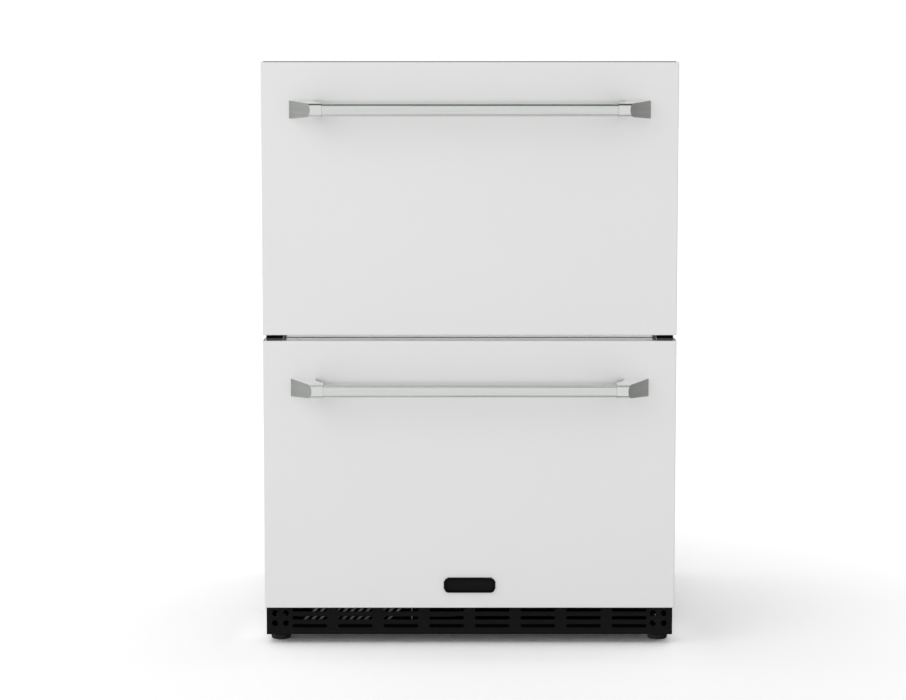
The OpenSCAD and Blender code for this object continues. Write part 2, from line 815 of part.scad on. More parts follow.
// A shallow moulded cover with a ringed outlet in front of the fan and return slots at the bottom.
module evaporator_cover() {
    depth = evap_d - seat_clear;
    cover_t = 2.5;
    mid_z = (cover_low + cover_high) / 2;
    outlet_r = evaporator_fan_d / 2 + 3;
    color("white") place() difference() {
        translate([0, cav_back - seat_clear - depth, mid_z])
            front_slab(2 * cover_half, cover_high - cover_low, depth, 6);
        block([cover_t - cover_half, cav_back - evap_d + cover_t, cover_low + cover_t],
            [cover_half - cover_t, cav_back + 1, cover_high - cover_t]);
        translate([0, 0, evap_fan_z]) upright(cav_back - evap_d - 1, cav_back - evap_d + cover_t + 1)
            for (r = [14 : 8 : outlet_r - 5]) for (a = [0 : 60 : 300]) rotate(a)
                intersection() {
                    difference() {
                        circle(r + 5);
                        circle(r);
                    }
                    translate([2, 2]) square([outlet_r, outlet_r]);
                    rotate(-30) translate([2, 2]) square([outlet_r, outlet_r]);
                }
        upright(cav_back - evap_d - 1, cav_back - evap_d + cover_t + 1)
            for (i = [-9 : 9]) translate([i * (cover_half - 45) / 9, cover_low + 24]) rotate(90) slot(26, 6);
    }
}

small_motor_r = 17;
small_motor_h = 12;
small_hub_r = 16;
small_hub_h = 14;

module evaporator_fan_motor() {
    color("dimgray") place() translate([0, cav_back - small_motor_h, evap_fan_z]) rotate([90, 0, 0])
        fan_motor(small_motor_r, small_motor_h, shaft_len(small_hub_h));
}

module evaporator_fan_wheel() {
    wheel_y = cav_back - small_motor_h - fan_gap - small_hub_h / 2;
    color("#e8e8e8") place() translate([0, wheel_y, evap_fan_z]) rotate([90, 0, 0])
        fan_wheel(evaporator_fan_d / 2, small_hub_r, small_hub_h, 28);
}

// ---- Controls ----

module control_housing() {
    recess = 2;
    well_depth = button_depth + button_travel + 1.5;
    color("#d8d8d8") place() difference() {
        translate([0, control_y, control_z]) front_slab(2 * control_half, control_h, control_d, 3);
        translate([0, 0, control_z]) upright(control_y - 1, control_y + recess) rounded_rect(64, 14, 2);
        for (i = [0 : 3]) translate([button_x(i), control_y - 1, control_z]) rotate([-90, 0, 0])
            cylinder(well_depth, button_d / 2 + seat_clear, button_d / 2 + seat_clear);
    }
}

module display_window() {
    color("#101418") place() translate([0, 0, control_z])
        upright(control_y + 0.4, control_y + 2) rounded_rect(63.4, 13.4, 1.7);
}

module button(index) {
    color("#f0f0f0") place() translate([button_x(index), control_y - button_proud, control_z])
        rotate([-90, 0, 0]) rotate_extrude() {
            square([button_d / 2 - 1, button_depth + button_proud]);
            translate([0, 1]) square([button_d / 2, button_depth + button_proud - 1]);
            translate([button_d / 2 - 1, 1]) circle(1);
        }
}

module lamp_lens() {
    color("#f8f8f0") place() translate([0, control_y + control_d + lamp_w, cav_top]) rotate([0, 90, 0])
        linear_extrude(2 * lamp_half, center = true) intersection() {
            rounded_rect(2 * lamp_h, lamp_w, lamp_h - 1);
            translate([0, -lamp_w]) square([lamp_h, 2 * lamp_w]);
        }
}

// A flanged bush in the back panel, where the mains lead leaves.
module cord_gland() {
    color("#1a1a1a") place() translate([gland_x, cab_back, gland_z]) rotate([90, 0, 0]) difference() {
        union() {
            translate([0, 0, -0.5]) cylinder(14, gland_r - run_clear, gland_r - run_clear);
            translate([0, 0, sheet_t]) cylinder(5, gland_r + 4, gland_r + 4, $fn = 6);
        }
        translate([0, 0, -1]) cylinder(20, 4.5, 4.5);
    }
}

// ---- Drawers ----

module front_skin(level) {
    color("whitesmoke") place() translate([0, 0, front_z(level) + front_h / 2]) difference() {
        front_slab(front_w, front_h, front_t, edge_r);
        block([skin_t - front_w / 2, skin_t, skin_t - front_h / 2],
            [front_w / 2 - skin_t, front_t + 1, front_h / 2 - skin_t]);
        for (side = [-1, 1]) translate([side * screw_x, -1, front_h / 2 - handle_drop])
            rotate([-90, 0, 0]) cylinder(skin_t + 2, screw_r + 0.4, screw_r + 0.4);
    }
}
screw_r = 2.5;
screw_x = handle_len / 2 - 17;

// The foam-filled inner door: a slab in the skin with a raised plug behind it.
module front_liner(level) {
    plug_w = 2 * (cav_half - plug_clear);
    plug_h = window_high(level) - window_low(level) - 2 * plug_clear;
    plug_z = (window_low(level) + window_high(level)) / 2;
    draft = 4;
    color("white") place() {
        translate([0, 0, front_z(level)])
            block([skin_t - front_w / 2, skin_t, skin_t], [front_w / 2 - skin_t, front_t, front_h - skin_t]);
        translate([0, 0, plug_z]) hull() {
            upright(front_t - 1, front_t + 2) rounded_rect(plug_w, plug_h, liner_r, $fn = 32);
            upright(arm_front - 1, arm_front)
                rounded_rect(plug_w - 2 * draft, plug_h - 2 * draft, liner_r, $fn = 32);
        }
    }
}

// A magnetic seal: a foot in the liner's rim, soft bellows and the magnet strip in front.
module gasket(level) {
    seal_w = 14;
    seal_r = 14;
    outer_w = 2 * cav_half + 2 * seal_w + 6;
    outer_h = window_high(level) - window_low(level) + 2 * seal_w + 2;
    mid_z = (window_low(level) + window_high(level)) / 2;
    depth = seal_t - seal_clear;
    color("dimgray") place() translate([0, 0, mid_z]) {
        upright(front_t, front_t + depth * 0.25) rounded_ring(outer_w, outer_h, seal_r, seal_w);
        upright(front_t + depth * 0.2, front_t + depth * 0.7)
            rounded_ring(outer_w - 6, outer_h - 6, seal_r - 3, seal_w - 6);
        upright(front_t + depth * 0.6, front_t + depth)
            rounded_ring(outer_w - 2, outer_h - 2, seal_r - 1, seal_w - 2);
    }
}

bar_half = handle_len / 2 - bracket_foot_len;
spigot_d = 12;
spigot_len = 11;

module handle_bar(level) {
    color("#c8ccca") place() translate([0, -bar_stand_off, handle_z(level)]) rotate([0, 90, 0]) {
        translate([0, 0, -bar_half]) cylinder(2 * bar_half, bar_d / 2, bar_d / 2);
        translate([0, 0, -bar_half - spigot_len])
            cylinder(2 * (bar_half + spigot_len), spigot_d / 2, spigot_d / 2);
    }
}

// The side outline of a bracket: a round nose that widens to the foot along tangent lines.
module bracket_side() {
    r = nose_d / 2;
    half = bracket_foot_h / 2;
    reach = norm([bar_stand_off, half]);
    touch = atan2(half, bar_stand_off) + acos(r / reach);
    tip = [r * cos(touch) - bar_stand_off, r * sin(touch)];
    translate([-bar_stand_off, 0]) circle(r);
    polygon([[-bar_stand_off, -tip.y], [tip.x, -tip.y], [0, -half], [0, half], [tip.x, tip.y],
        [-bar_stand_off, tip.y]]);
}

// The plan of a bracket: a nose, a slanted outer end and a round hollow on the inner side, which
// runs from behind the nose to the foot.
module bracket_plan() {
    outer = handle_len / 2;
    nose_back = handle_reach - nose_d - 2;
    chord = norm([foot_setback, nose_back]);
    rise = sqrt(scallop_r ^ 2 - chord ^ 2 / 4) / chord;
    middle = [foot_setback / 2 - rise * nose_back, rise * foot_setback - nose_back / 2];
    difference() {
        polygon([[bar_half, -handle_reach], [bar_half + nose_len, -handle_reach],
            [outer, 0], [bar_half, 0]]);
        translate([bar_half + middle.x, middle.y]) circle(scallop_r);
    }
}

module handle_brackets(level) {
    color("#9a9f9c") place() translate([0, 0, handle_z(level)]) both_sides() difference() {
        intersection() {
            linear_extrude(bracket_foot_h, center = true) bracket_plan();
            sideways(0, handle_len) bracket_side();
        }
        translate([bar_half - 1, -bar_stand_off, 0]) rotate([0, 90, 0])
            cylinder(spigot_len + 2, spigot_d / 2 + run_clear, spigot_d / 2 + run_clear);
        translate([screw_x, -16, 0]) rotate([-90, 0, 0]) cylinder(17, screw_r, screw_r);
    }
}

// Bent arms from the front to the slides; each has a ledge for the bin's rim.
module side_arms(level) {
    top = ledge_z(level);
    low = top - arm_t - slide_h;
    tab = 26;
    color("silver") place() both_sides() {
        difference() {
            block([arm_in, arm_front, low], [slide_in, slide_front + slide_len, top]);
            for (i = [1 : 5]) translate([0, arm_front + i * slide_len / 6, (low + top) / 2])
                sideways(arm_in - 1, slide_in + 1) slot(46, 16);
        }
        block([arm_in - ledge_w, arm_front, top - arm_t], [slide_in, slide_front + slide_len, top]);
        difference() {
            block([arm_in - tab, arm_front, low - 20], [slide_in, arm_front + arm_t, top]);
            for (z = [low - 10, low + 25]) translate([arm_in - tab / 2, 0, z])
                upright(arm_front - 1, arm_front + arm_t + 1) circle(2.5);
        }
    }
}

// An open moulded bin with a rolled rim, vents behind and ribs on its floor.
module drawer_bin(level) {
    front = bin_front + 6;
    back = bin_back(level);
    low = bin_bottom(level);
    high = bin_top(level);
    mid = (front + back) / 2;
    span = back - front;
    rim_w = arm_in - slide_clear - bin_half;
    rib_pitch = bin_half / 4;
    vent_pitch = bin_half / 11;
    color("#e4e8ea") place() difference() {
        union() {
            translate([0, mid, low]) linear_extrude(high - low) rounded_rect(2 * bin_half, span, bin_r);
            translate([0, mid, high - rim_t]) linear_extrude(rim_t)
                rounded_rect(2 * (bin_half + rim_w), span, bin_r);
        }
        difference() {
            translate([0, mid, low + bin_t]) linear_extrude(high - low)
                rounded_rect(2 * (bin_half - bin_t), span - 2 * bin_t, bin_r - bin_t);
            for (i = [-3 : 3]) translate([i * rib_pitch, mid, low])
                linear_extrude(bin_t + 2) rotate(90) slot(span - 60, 4);
        }
        for (i = [-8 : 8], row = [0, 1]) translate([i * vent_pitch, 0, high - 60 - row * 50])
            upright(back - bin_t - 1, back + 1) rotate(90) slot(34, 5);
    }
}

// Places slide outlines drawn in u and v, on both sides of the cabinet.
module slides(level) {
    place() both_sides() translate([cav_half, 0, slide_z(level)]) children();
}

module slide_member() {
    upright(slide_front, slide_front + slide_len) mirror([1, 0]) children();
}

// A row of balls above and one below, each in its thin cage.
module ball_row(u, v, from, r, cage_t) {
    row_l = slide_len / 2 - 2 * ball_margin;
    cage_half = r + 0.6;
    cage_end = ball_margin / 2;
    for (side = [-1, 1]) translate([-u, from + ball_margin, side * v]) {
        for (i = [0 : ball_count - 1]) translate([0, i * row_l / (ball_count - 1), 0]) sphere(r, $fn = 24);
        block([-cage_half, -cage_end, -cage_t / 2], [cage_half, row_l + cage_end, cage_t / 2]);
    }
}

module grooves(u, v, r) {
    for (side = [-1, 1]) translate([u, side * v]) circle(r + run_clear, $fn = 32);
}

// The channel screwed to the liner, with lips that keep the balls in.
module slide_outer(level) {
    depth = slide_w - 1.9;
    lip = 3;
    color("lightsteelblue") slides(level) slide_member() difference() {
        translate([0, -slide_h / 2]) square([depth, slide_h]);
        translate([slide_t, -outer_flange_v]) square([depth - 2 * slide_t, 2 * outer_flange_v]);
        translate([slide_t, lip - outer_flange_v]) square([depth, 2 * (outer_flange_v - lip)]);
        grooves(outer_ball_u, outer_ball_v, outer_ball_r);
    }
}

module slide_middle(level) {
    far_u = slide_w - 2.5;
    color("lightsteelblue") slides(level) slide_member() difference() {
        translate([middle_web_u, -middle_v]) square([far_u - middle_web_u, 2 * middle_v]);
        translate([middle_web_u + slide_t, -middle_inner_v]) square([far_u, 2 * middle_inner_v]);
        grooves(outer_ball_u, outer_ball_v, outer_ball_r);
        grooves(inner_ball_u, inner_ball_v, inner_ball_r);
    }
}

module slide_inner(level) {
    near_u = 5.6;
    color("lightsteelblue") slides(level) slide_member() difference() {
        translate([near_u, -inner_v]) square([slide_w - near_u, 2 * inner_v]);
        translate([near_u - 1, slide_t - inner_v])
            square([slide_w - near_u - slide_t + 1, 2 * (inner_v - slide_t)]);
        grooves(inner_ball_u, inner_ball_v, inner_ball_r);
    }
}

// The balls lie where the members still overlap when the drawer is out.
module slide_balls(level) {
    color("white") slides(level) {
        ball_row(outer_ball_u, outer_ball_v, slide_front + slide_len / 2, outer_ball_r, 1);
        ball_row(inner_ball_u, inner_ball_v, slide_front, inner_ball_r, 0.8);
    }
}

outer_casing();
back_panel();
base_pan();
foam_insulation();
inner_liner();
face_frame();
centre_rail();
gap_end_blocks();
kick_grille();
foot_sockets();
condenser_fins();
condenser_coil();
air_partition();
condenser_fan_motor();
condenser_fan_wheel();
compressor();
compressor_grommets();
relay_cover();
drain_pan();
filter_drier();
refrigerant_lines();
evaporator_fins();
evaporator_coil();
evaporator_cover();
evaporator_fan_motor();
evaporator_fan_wheel();
control_housing();
display_window();
lamp_lens();
cord_gland();
button(0);  // power_button
button(1);  // lamp_button
button(2);  // colder_button
button(3);  // warmer_button
foot(-foot_x, foot_front_y);  // front_left_foot
foot(foot_x, foot_front_y);  // front_right_foot
foot(-foot_x, foot_back_y);  // rear_left_foot
foot(foot_x, foot_back_y);  // rear_right_foot
slide_outer(lower);  // lower_slide_outer
slide_middle(lower);  // lower_slide_middle
slide_balls(lower);  // lower_slide_balls
slide_inner(lower);  // lower_slide_inner
side_arms(lower);  // lower_side_arms
drawer_bin(lower);  // lower_bin
front_skin(lower);  // lower_front_skin
front_liner(lower);  // lower_front_liner
gasket(lower);  // lower_gasket
handle_bar(lower);  // lower_handle_bar
handle_brackets(lower);  // lower_handle_brackets
slide_outer(upper);  // upper_slide_outer
slide_middle(upper);  // upper_slide_middle
slide_balls(upper);  // upper_slide_balls
slide_inner(upper);  // upper_slide_inner
side_arms(upper);  // upper_side_arms
drawer_bin(upper);  // upper_bin
front_skin(upper);  // upper_front_skin
front_liner(upper);  // upper_front_liner
gasket(upper);  // upper_gasket
handle_bar(upper);  // upper_handle_bar
handle_brackets(upper);  // upper_handle_brackets
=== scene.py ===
import json
import math

import bpy
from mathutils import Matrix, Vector


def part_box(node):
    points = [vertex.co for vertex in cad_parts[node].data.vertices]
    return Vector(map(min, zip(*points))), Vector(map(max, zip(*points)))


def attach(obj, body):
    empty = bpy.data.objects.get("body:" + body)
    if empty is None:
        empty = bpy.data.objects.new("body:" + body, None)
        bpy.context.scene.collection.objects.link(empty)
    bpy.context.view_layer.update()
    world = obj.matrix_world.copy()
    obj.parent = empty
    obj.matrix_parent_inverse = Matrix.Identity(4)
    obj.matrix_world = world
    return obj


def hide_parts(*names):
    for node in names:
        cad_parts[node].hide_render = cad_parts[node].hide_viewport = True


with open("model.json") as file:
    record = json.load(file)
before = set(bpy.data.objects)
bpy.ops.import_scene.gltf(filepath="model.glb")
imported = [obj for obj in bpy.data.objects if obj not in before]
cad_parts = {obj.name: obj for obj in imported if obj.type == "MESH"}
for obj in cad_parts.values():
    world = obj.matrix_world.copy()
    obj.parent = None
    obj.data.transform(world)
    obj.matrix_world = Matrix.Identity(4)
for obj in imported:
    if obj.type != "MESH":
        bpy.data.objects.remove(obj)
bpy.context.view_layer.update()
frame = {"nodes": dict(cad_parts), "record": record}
nodes = frame["nodes"]
record = frame["record"]
scene = bpy.context.scene
slotOfNode = {part["node"]: part["material_slot"] for part in record["subparts"]}
bodyOfNode = {node: body for body, members in record["behaviour"]["bodies"].items() for node in members}
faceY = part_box("upper_front_skin")[0].y  # the plane of the drawer fronts
print("frame loaded:", len(nodes), "nodes")


def middleOf(nodeName):
    low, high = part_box(nodeName)
    return (low + high) / 2


# camera, solved from the converging edges of the fronts
cameraSpec = {
    "lens": 104.0,         # mm
    "sensorWidth": 36.0,   # mm
    "offsetX": -0.0243,    # left of the middle of the object
    "distance": 3.775,     # in front of the fronts' faces
    "height": 0.857,
    "downTilt": 6.28,      # degrees
    "farthest": 200.0,
}


def addCamera(spec):
    bpy.ops.object.camera_add(
        location=(spec["offsetX"], faceY - spec["distance"], spec["height"]),
        rotation=(math.radians(90 - spec["downTilt"]), 0, 0))
    camera = bpy.context.object
    camera.name = "photo_camera"
    camera.data.lens = spec["lens"]
    camera.data.sensor_width = spec["sensorWidth"]
    camera.data.clip_end = spec["farthest"]
    scene.camera = camera


addCamera(cameraSpec)
print("camera set")


# small helpers for shader nodes
def addNode(tree, kind, **settings):
    node = tree.nodes.new(kind)
    for key, value in settings.items():
        setattr(node, key, value)
    return node


def mathNode(tree, operation, first, second=None):
    node = addNode(tree, "ShaderNodeMath", operation=operation)
    for index, value in enumerate((first, second)):
        if value is None:
            continue
        if isinstance(value, (int, float)):
            node.inputs[index].default_value = value
        else:
            tree.links.new(value, node.inputs[index])
    return node.outputs[0]


def noise(tree, vector, scale, detail=2.0, roughness=0.5):
    node = addNode(tree, "ShaderNodeTexNoise")
    node.inputs["Scale"].default_value = scale
    node.inputs["Detail"].default_value = detail
    node.inputs["Roughness"].default_value = roughness
    tree.links.new(vector, node.inputs["Vector"])
    return node.outputs["Fac"]


def mixColor(tree, factor, first, second):
    node = addNode(tree, "ShaderNodeMix", data_type="RGBA", blend_type="MIX")
    sockets = (node.inputs["Factor"], node.inputs[6], node.inputs[7])
    for socket, value in zip(sockets, (factor, first, second)):
        if isinstance(value, (int, float, tuple)):
            socket.default_value = value
        else:
            tree.links.new(value, socket)
    return node.outputs[2]


def spreadValue(tree, value, fromRange=(0, 1), toRange=(0, 1)):
    spread = addNode(tree, "ShaderNodeMapRange")
    for label, number in zip(("From Min", "From Max", "To Min", "To Max"), (*fromRange, *toRange)):
        spread.inputs[label].default_value = number
    tree.links.new(value, spread.inputs["Value"])
    return spread.outputs["Result"]


def axesOf(tree, vector):
    axes = addNode(tree, "ShaderNodeSeparateXYZ")
    tree.links.new(vector, axes.inputs[0])
    return axes.outputs


def objectPlace(tree):
    return addNode(tree, "ShaderNodeTexCoord").outputs["Object"]


def faceNormal(tree):
    return addNode(tree, "ShaderNodeNewGeometry").outputs["Normal"]


def rgba(color):
    return (*color, 1.0)


# shader node groups: each puts out masks, colours and heights only
groupSpec = {  # scales are in cells to the metre
    "cloudScale": 4.5,
    "cloudDetail": 3.0,
    "speckleScale": 900.0,
    "speckleDetail": 2.0,
    "lineDetail": 3.0,
    "lineRoughness": 0.6,
    "lineRange": (0.35, 0.65),  # part of the noise that turns from metal to line
}


def newGroup(name, inputs, outputs):
    group = bpy.data.node_groups.new(name, "ShaderNodeTree")
    for label, kind, value in inputs:
        socket = group.interface.new_socket(name=label, in_out="INPUT", socket_type=kind)
        socket.default_value = value
    for label, kind in outputs:
        group.interface.new_socket(name=label, in_out="OUTPUT", socket_type=kind)
    start = group.nodes.new("NodeGroupInput")
    end = group.nodes.new("NodeGroupOutput")
    return group, start, end


def makeCloudGroup(spec):
    # broad, faint unevenness of a finish, and a fine speckle on top
    group, start, end = newGroup("cloudAndSpeckle", [
        ("Color", "NodeSocketColor", (0.5, 0.5, 0.5, 1)),
        ("Second Color", "NodeSocketColor", (0.4, 0.4, 0.4, 1)),
        ("Cloud Amount", "NodeSocketFloat", 0.3),
        ("Speckle Amount", "NodeSocketFloat", 0.1),
    ], [("Color", "NodeSocketColor"), ("Mask", "NodeSocketFloat"), ("Fine", "NodeSocketFloat")])
    place = objectPlace(group)
    cloud = noise(group, place, spec["cloudScale"], spec["cloudDetail"])
    fine = noise(group, place, spec["speckleScale"], spec["speckleDetail"])
    mask = mathNode(group, "MULTIPLY", cloud, start.outputs["Cloud Amount"])
    speck = mathNode(group, "MULTIPLY", fine, start.outputs["Speckle Amount"])
    total = mathNode(group, "ADD", mask, speck)
    color = mixColor(group, total, start.outputs["Color"], start.outputs["Second Color"])
    group.links.new(color, end.inputs["Color"])
    group.links.new(cloud, end.inputs["Mask"])
    group.links.new(fine, end.inputs["Fine"])
    return group


def makeBrushGroup(spec):
    # fine parallel scratches: noise stretched along one direction
    group, start, end = newGroup("brushedLines", [
        ("Vector", "NodeSocketVector", (0.0, 0.0, 0.0)),
        ("Stretch", "NodeSocketVector", (6.0, 900.0, 900.0)),
        ("Color", "NodeSocketColor", (0.6, 0.6, 0.6, 1)),
        ("Line Color", "NodeSocketColor", (0.45, 0.45, 0.45, 1)),
    ], [("Color", "NodeSocketColor"), ("Lines", "NodeSocketFloat"), ("Height", "NodeSocketFloat")])
    scaled = addNode(group, "ShaderNodeVectorMath", operation="MULTIPLY")
    group.links.new(start.outputs["Vector"], scaled.inputs[0])
    group.links.new(start.outputs["Stretch"], scaled.inputs[1])
    height = noise(group, scaled.outputs[0], 1.0, spec["lineDetail"], spec["lineRoughness"])
    lines = spreadValue(group, height, spec["lineRange"])
    color = mixColor(group, lines, start.outputs["Color"], start.outputs["Line Color"])
    group.links.new(color, end.inputs["Color"])
    group.links.new(lines, end.inputs["Lines"])
    group.links.new(height, end.inputs["Height"])
    return group


def makePeelGroup():
    # the soft pebbled skin of powder coat and of moulded plastic
    group, start, end = newGroup("pebbledSkin", [
        ("Grain Scale", "NodeSocketFloat", 1200.0),
        ("Wave Scale", "NodeSocketFloat", 60.0),
        ("Wave Share", "NodeSocketFloat", 0.3),
    ], [("Height", "NodeSocketFloat"), ("Grain", "NodeSocketFloat")])
    place = objectPlace(group)
    grain = addNode(group, "ShaderNodeTexVoronoi", feature="SMOOTH_F1")
    group.links.new(place, grain.inputs["Vector"])
    group.links.new(start.outputs["Grain Scale"], grain.inputs["Scale"])
    wave = addNode(group, "ShaderNodeTexNoise")
    group.links.new(place, wave.inputs["Vector"])
    group.links.new(start.outputs["Wave Scale"], wave.inputs["Scale"])
    share = mathNode(group, "MULTIPLY", wave.outputs["Fac"], start.outputs["Wave Share"])
    height = mathNode(group, "ADD", grain.outputs["Distance"], share)
    group.links.new(height, end.inputs["Height"])
    group.links.new(grain.outputs["Distance"], end.inputs["Grain"])
    return group


groups = {
    "cloud": makeCloudGroup(groupSpec),
    "brush": makeBrushGroup(groupSpec),
    "peel": makePeelGroup(),
}
print("shader groups:", len(groups))


# materials: what the finishes of one kind share
finishSpec = {
    # cloud and speckle are shares of the second colour, grain and wave are in cells to the metre,
    # spread is how far the roughness goes down and up, and depth is the depth of the relief
    "sheet": {"cloud": 0.5, "speckle": 0.2, "grain": 900.0, "wave": 45.0, "waveShare": 0.5,
              "spread": (0.05, 0.05), "depth": 0.0002},
    "moulding": {"cloud": 0.6, "speckle": 0.3, "grain": 1500.0, "wave": 80.0, "waveShare": 0.2,
                 "spread": (0.05, 0.08), "depth": 0.0001},
    "tube": {"cloud": 0.9, "speckle": 0.3, "spread": (0.1, 0.15), "relief": 0.05, "depth": 0.0001},
    "foam": {"cloud": 0.7, "speckle": 0.6, "grain": 420.0, "wave": 25.0, "waveShare": 1.0,
             "relief": 0.5, "depth": 0.0006},
    "brushed": {"spread": (0.07, 0.07), "depth": 0.0001},
    "print": {"cloud": 0.4, "speckle": 0.2},
}
coatRoughness = 0.1


def newMaterial(name, roughness, metallic=0.0, **constants):
    material = bpy.data.materials.new(name)
    material.use_nodes = True
    shader = material.node_tree.nodes["Principled BSDF"]
    shader.inputs["Roughness"].default_value = roughness
    shader.inputs["Metallic"].default_value = metallic
    for label, value in constants.items():
        shader.inputs[label.replace("_", " ")].default_value = value
    return material, material.node_tree, shader


def useGroup(tree, key, **values):
    node = addNode(tree, "ShaderNodeGroup", node_tree=groups[key])
    for label, value in values.items():
        node.inputs[label.replace("_", " ")].default_value = value
    return node


def useCloud(tree, finish, color, second):
    return useGroup(tree, "cloud", Color=rgba(color), Second_Color=rgba(second),
                    Cloud_Amount=finish["cloud"], Speckle_Amount=finish["speckle"])


def usePeel(tree, finish, grain):
    return useGroup(tree, "peel", Grain_Scale=grain,
                    Wave_Scale=finish["wave"], Wave_Share=finish["waveShare"])


def linkRoughness(tree, shader, mask, low, high):
    tree.links.new(spreadValue(tree, mask, toRange=(low, high)), shader.inputs["Roughness"])


def spreadRoughness(tree, shader, mask, roughness, finish):
    down, up = finish["spread"]
    linkRoughness(tree, shader, mask, roughness - down, roughness + up)


def linkBump(tree, shader, height, relief, depth):
    bump = addNode(tree, "ShaderNodeBump")
    if isinstance(relief, (int, float)):
        bump.inputs["Strength"].default_value = relief
    else:
        tree.links.new(relief, bump.inputs["Strength"])
    bump.inputs["Distance"].default_value = depth
    tree.links.new(height, bump.inputs["Height"])
    tree.links.new(bump.outputs["Normal"], shader.inputs["Normal"])


def coatedSheet(name, color, second, roughness, relief, coat=0.0):
    finish = finishSpec["sheet"]
    material, tree, shader = newMaterial(name, roughness, Coat_Weight=coat, Coat_Roughness=coatRoughness)
    cloud = useCloud(tree, finish, color, second)
    skin = usePeel(tree, finish, finish["grain"])
    tree.links.new(cloud.outputs["Color"], shader.inputs["Base Color"])
    spreadRoughness(tree, shader, cloud.outputs["Mask"], roughness, finish)
    linkBump(tree, shader, skin.outputs["Height"], relief, finish["depth"])
    return material


def brushedSteel(name, color, lineColor, roughness, stretch, relief=0.08, metallic=1.0, rim=None):
    # rim is painted shade: a dark band along the top edge of a sheet, where the gap above it lies in shadow
    finish = finishSpec["brushed"]
    material, tree, shader = newMaterial(name, roughness, metallic)
    place = objectPlace(tree)
    brush = useGroup(tree, "brush", Stretch=stretch, Color=rgba(color), Line_Color=rgba(lineColor))
    tree.links.new(place, brush.inputs["Vector"])
    shown = brush.outputs["Color"]
    if rim:
        # painted shade: the sheet is darkened just below its top edge
        seam = spreadValue(tree, axesOf(tree, place)["Z"], rim["heights"])
        shown = mixColor(tree, seam, shown, rgba(rim["color"]))
    tree.links.new(shown, shader.inputs["Base Color"])
    spreadRoughness(tree, shader, brush.outputs["Lines"], roughness, finish)
    linkBump(tree, shader, brush.outputs["Height"], relief, finish["depth"])
    return material


def moulded(name, color, second, roughness, grain=finishSpec["moulding"]["grain"], relief=0.08, specular=0.5):
    finish = finishSpec["moulding"]
    material, tree, shader = newMaterial(name, roughness, Specular_IOR_Level=specular)
    cloud = useCloud(tree, finish, color, second)
    skin = usePeel(tree, finish, grain)
    tree.links.new(cloud.outputs["Color"], shader.inputs["Base Color"])
    spreadRoughness(tree, shader, skin.outputs["Grain"], roughness, finish)
    linkBump(tree, shader, skin.outputs["Height"], relief, finish["depth"])
    return material


def tubeMetal(name, color, stain, roughness, frontDarkening=None):
    finish = finishSpec["tube"]
    material, tree, shader = newMaterial(name, roughness, 1.0)
    cloud = useCloud(tree, finish, color, stain)
    shown = cloud.outputs["Color"]
    # darker towards the front of the object
    if frontDarkening:
        towardFront = spreadValue(tree, axesOf(tree, objectPlace(tree))["Y"], frontDarkening["reach"])
        shown = mixColor(tree, towardFront, shown, rgba(frontDarkening["color"]))
    tree.links.new(shown, shader.inputs["Base Color"])
    spreadRoughness(tree, shader, cloud.outputs["Mask"], roughness, finish)
    linkBump(tree, shader, cloud.outputs["Fine"], finish["relief"], finish["depth"])
    return material


def foamBlock(name, color, second, roughness):
    finish = finishSpec["foam"]
    material, tree, shader = newMaterial(name, roughness)
    cloud = useCloud(tree, finish, color, second)
    cells = usePeel(tree, finish, finish["grain"])
    tree.links.new(cloud.outputs["Color"], shader.inputs["Base Color"])
    linkBump(tree, shader, cells.outputs["Height"], finish["relief"], finish["depth"])
    return material


# lens of the lamp: ribs that glow a little
lensSpec = {
    "roughness": 0.35,
    "glow": 0.6,
    "ribScale": 260.0,
    "valley": (0.75, 0.80, 0.85),
    "rib": (1.0, 1.0, 1.0),
    "relief": 0.3,
    "depth": 0.0003,
}


def lampLens(name, spec):
    material, tree, shader = newMaterial(name, spec["roughness"], Emission_Strength=spec["glow"])
    ribs = addNode(tree, "ShaderNodeTexWave", wave_type="BANDS", bands_direction="X")
    ribs.inputs["Scale"].default_value = spec["ribScale"]
    tree.links.new(objectPlace(tree), ribs.inputs["Vector"])
    glow = mixColor(tree, ribs.outputs["Fac"], rgba(spec["valley"]), rgba(spec["rib"]))
    tree.links.new(glow, shader.inputs["Base Color"])
    tree.links.new(glow, shader.inputs["Emission Color"])
    linkBump(tree, shader, ribs.outputs["Fac"], spec["relief"], spec["depth"])
    return material


# handle brackets: a bright nose, polished flares above and below that are lightened with a painted highlight,
# matt brushed ends, and a hollow darkened with painted shade
bracketSpec = {
    "noseColor": (0.66, 0.675, 0.66),
    "noseRoughness": 0.13,
    "flareHighlightColor": (0.95, 0.95, 0.945),
    "flareHighlightUp": (0.95, 0.99),      # how far a face looks up or down where it turns into the flare's painted highlight
    "hollowShadeColor": (0.06, 0.06, 0.06),
    "hollowShadeOut": (-0.2, -0.45),   # and how far it looks outwards where it turns into the hollow's painted shade
    "endColor": (0.36, 0.37, 0.36),
    "endLines": (0.31, 0.32, 0.31),
    "endOut": (0.45, 0.75),       # and into end
    "endRoughness": 0.45,
    "endMetal": 0.45,
    "endRelief": 0.1,
    "depth": 0.0001,
    "stretch": (6.0, 700.0, 700.0),
    "slant": 59.7,   # degrees between a slanted end and the fronts' faces
}


def outwardFacing(tree, place):
    # 1 on faces that look away from the object's middle, to its left or right,
    # and -1 on those that look back to it
    side = mathNode(tree, "SIGN", axesOf(tree, place)["X"])
    return mathNode(tree, "MULTIPLY", axesOf(tree, faceNormal(tree))["X"], side)


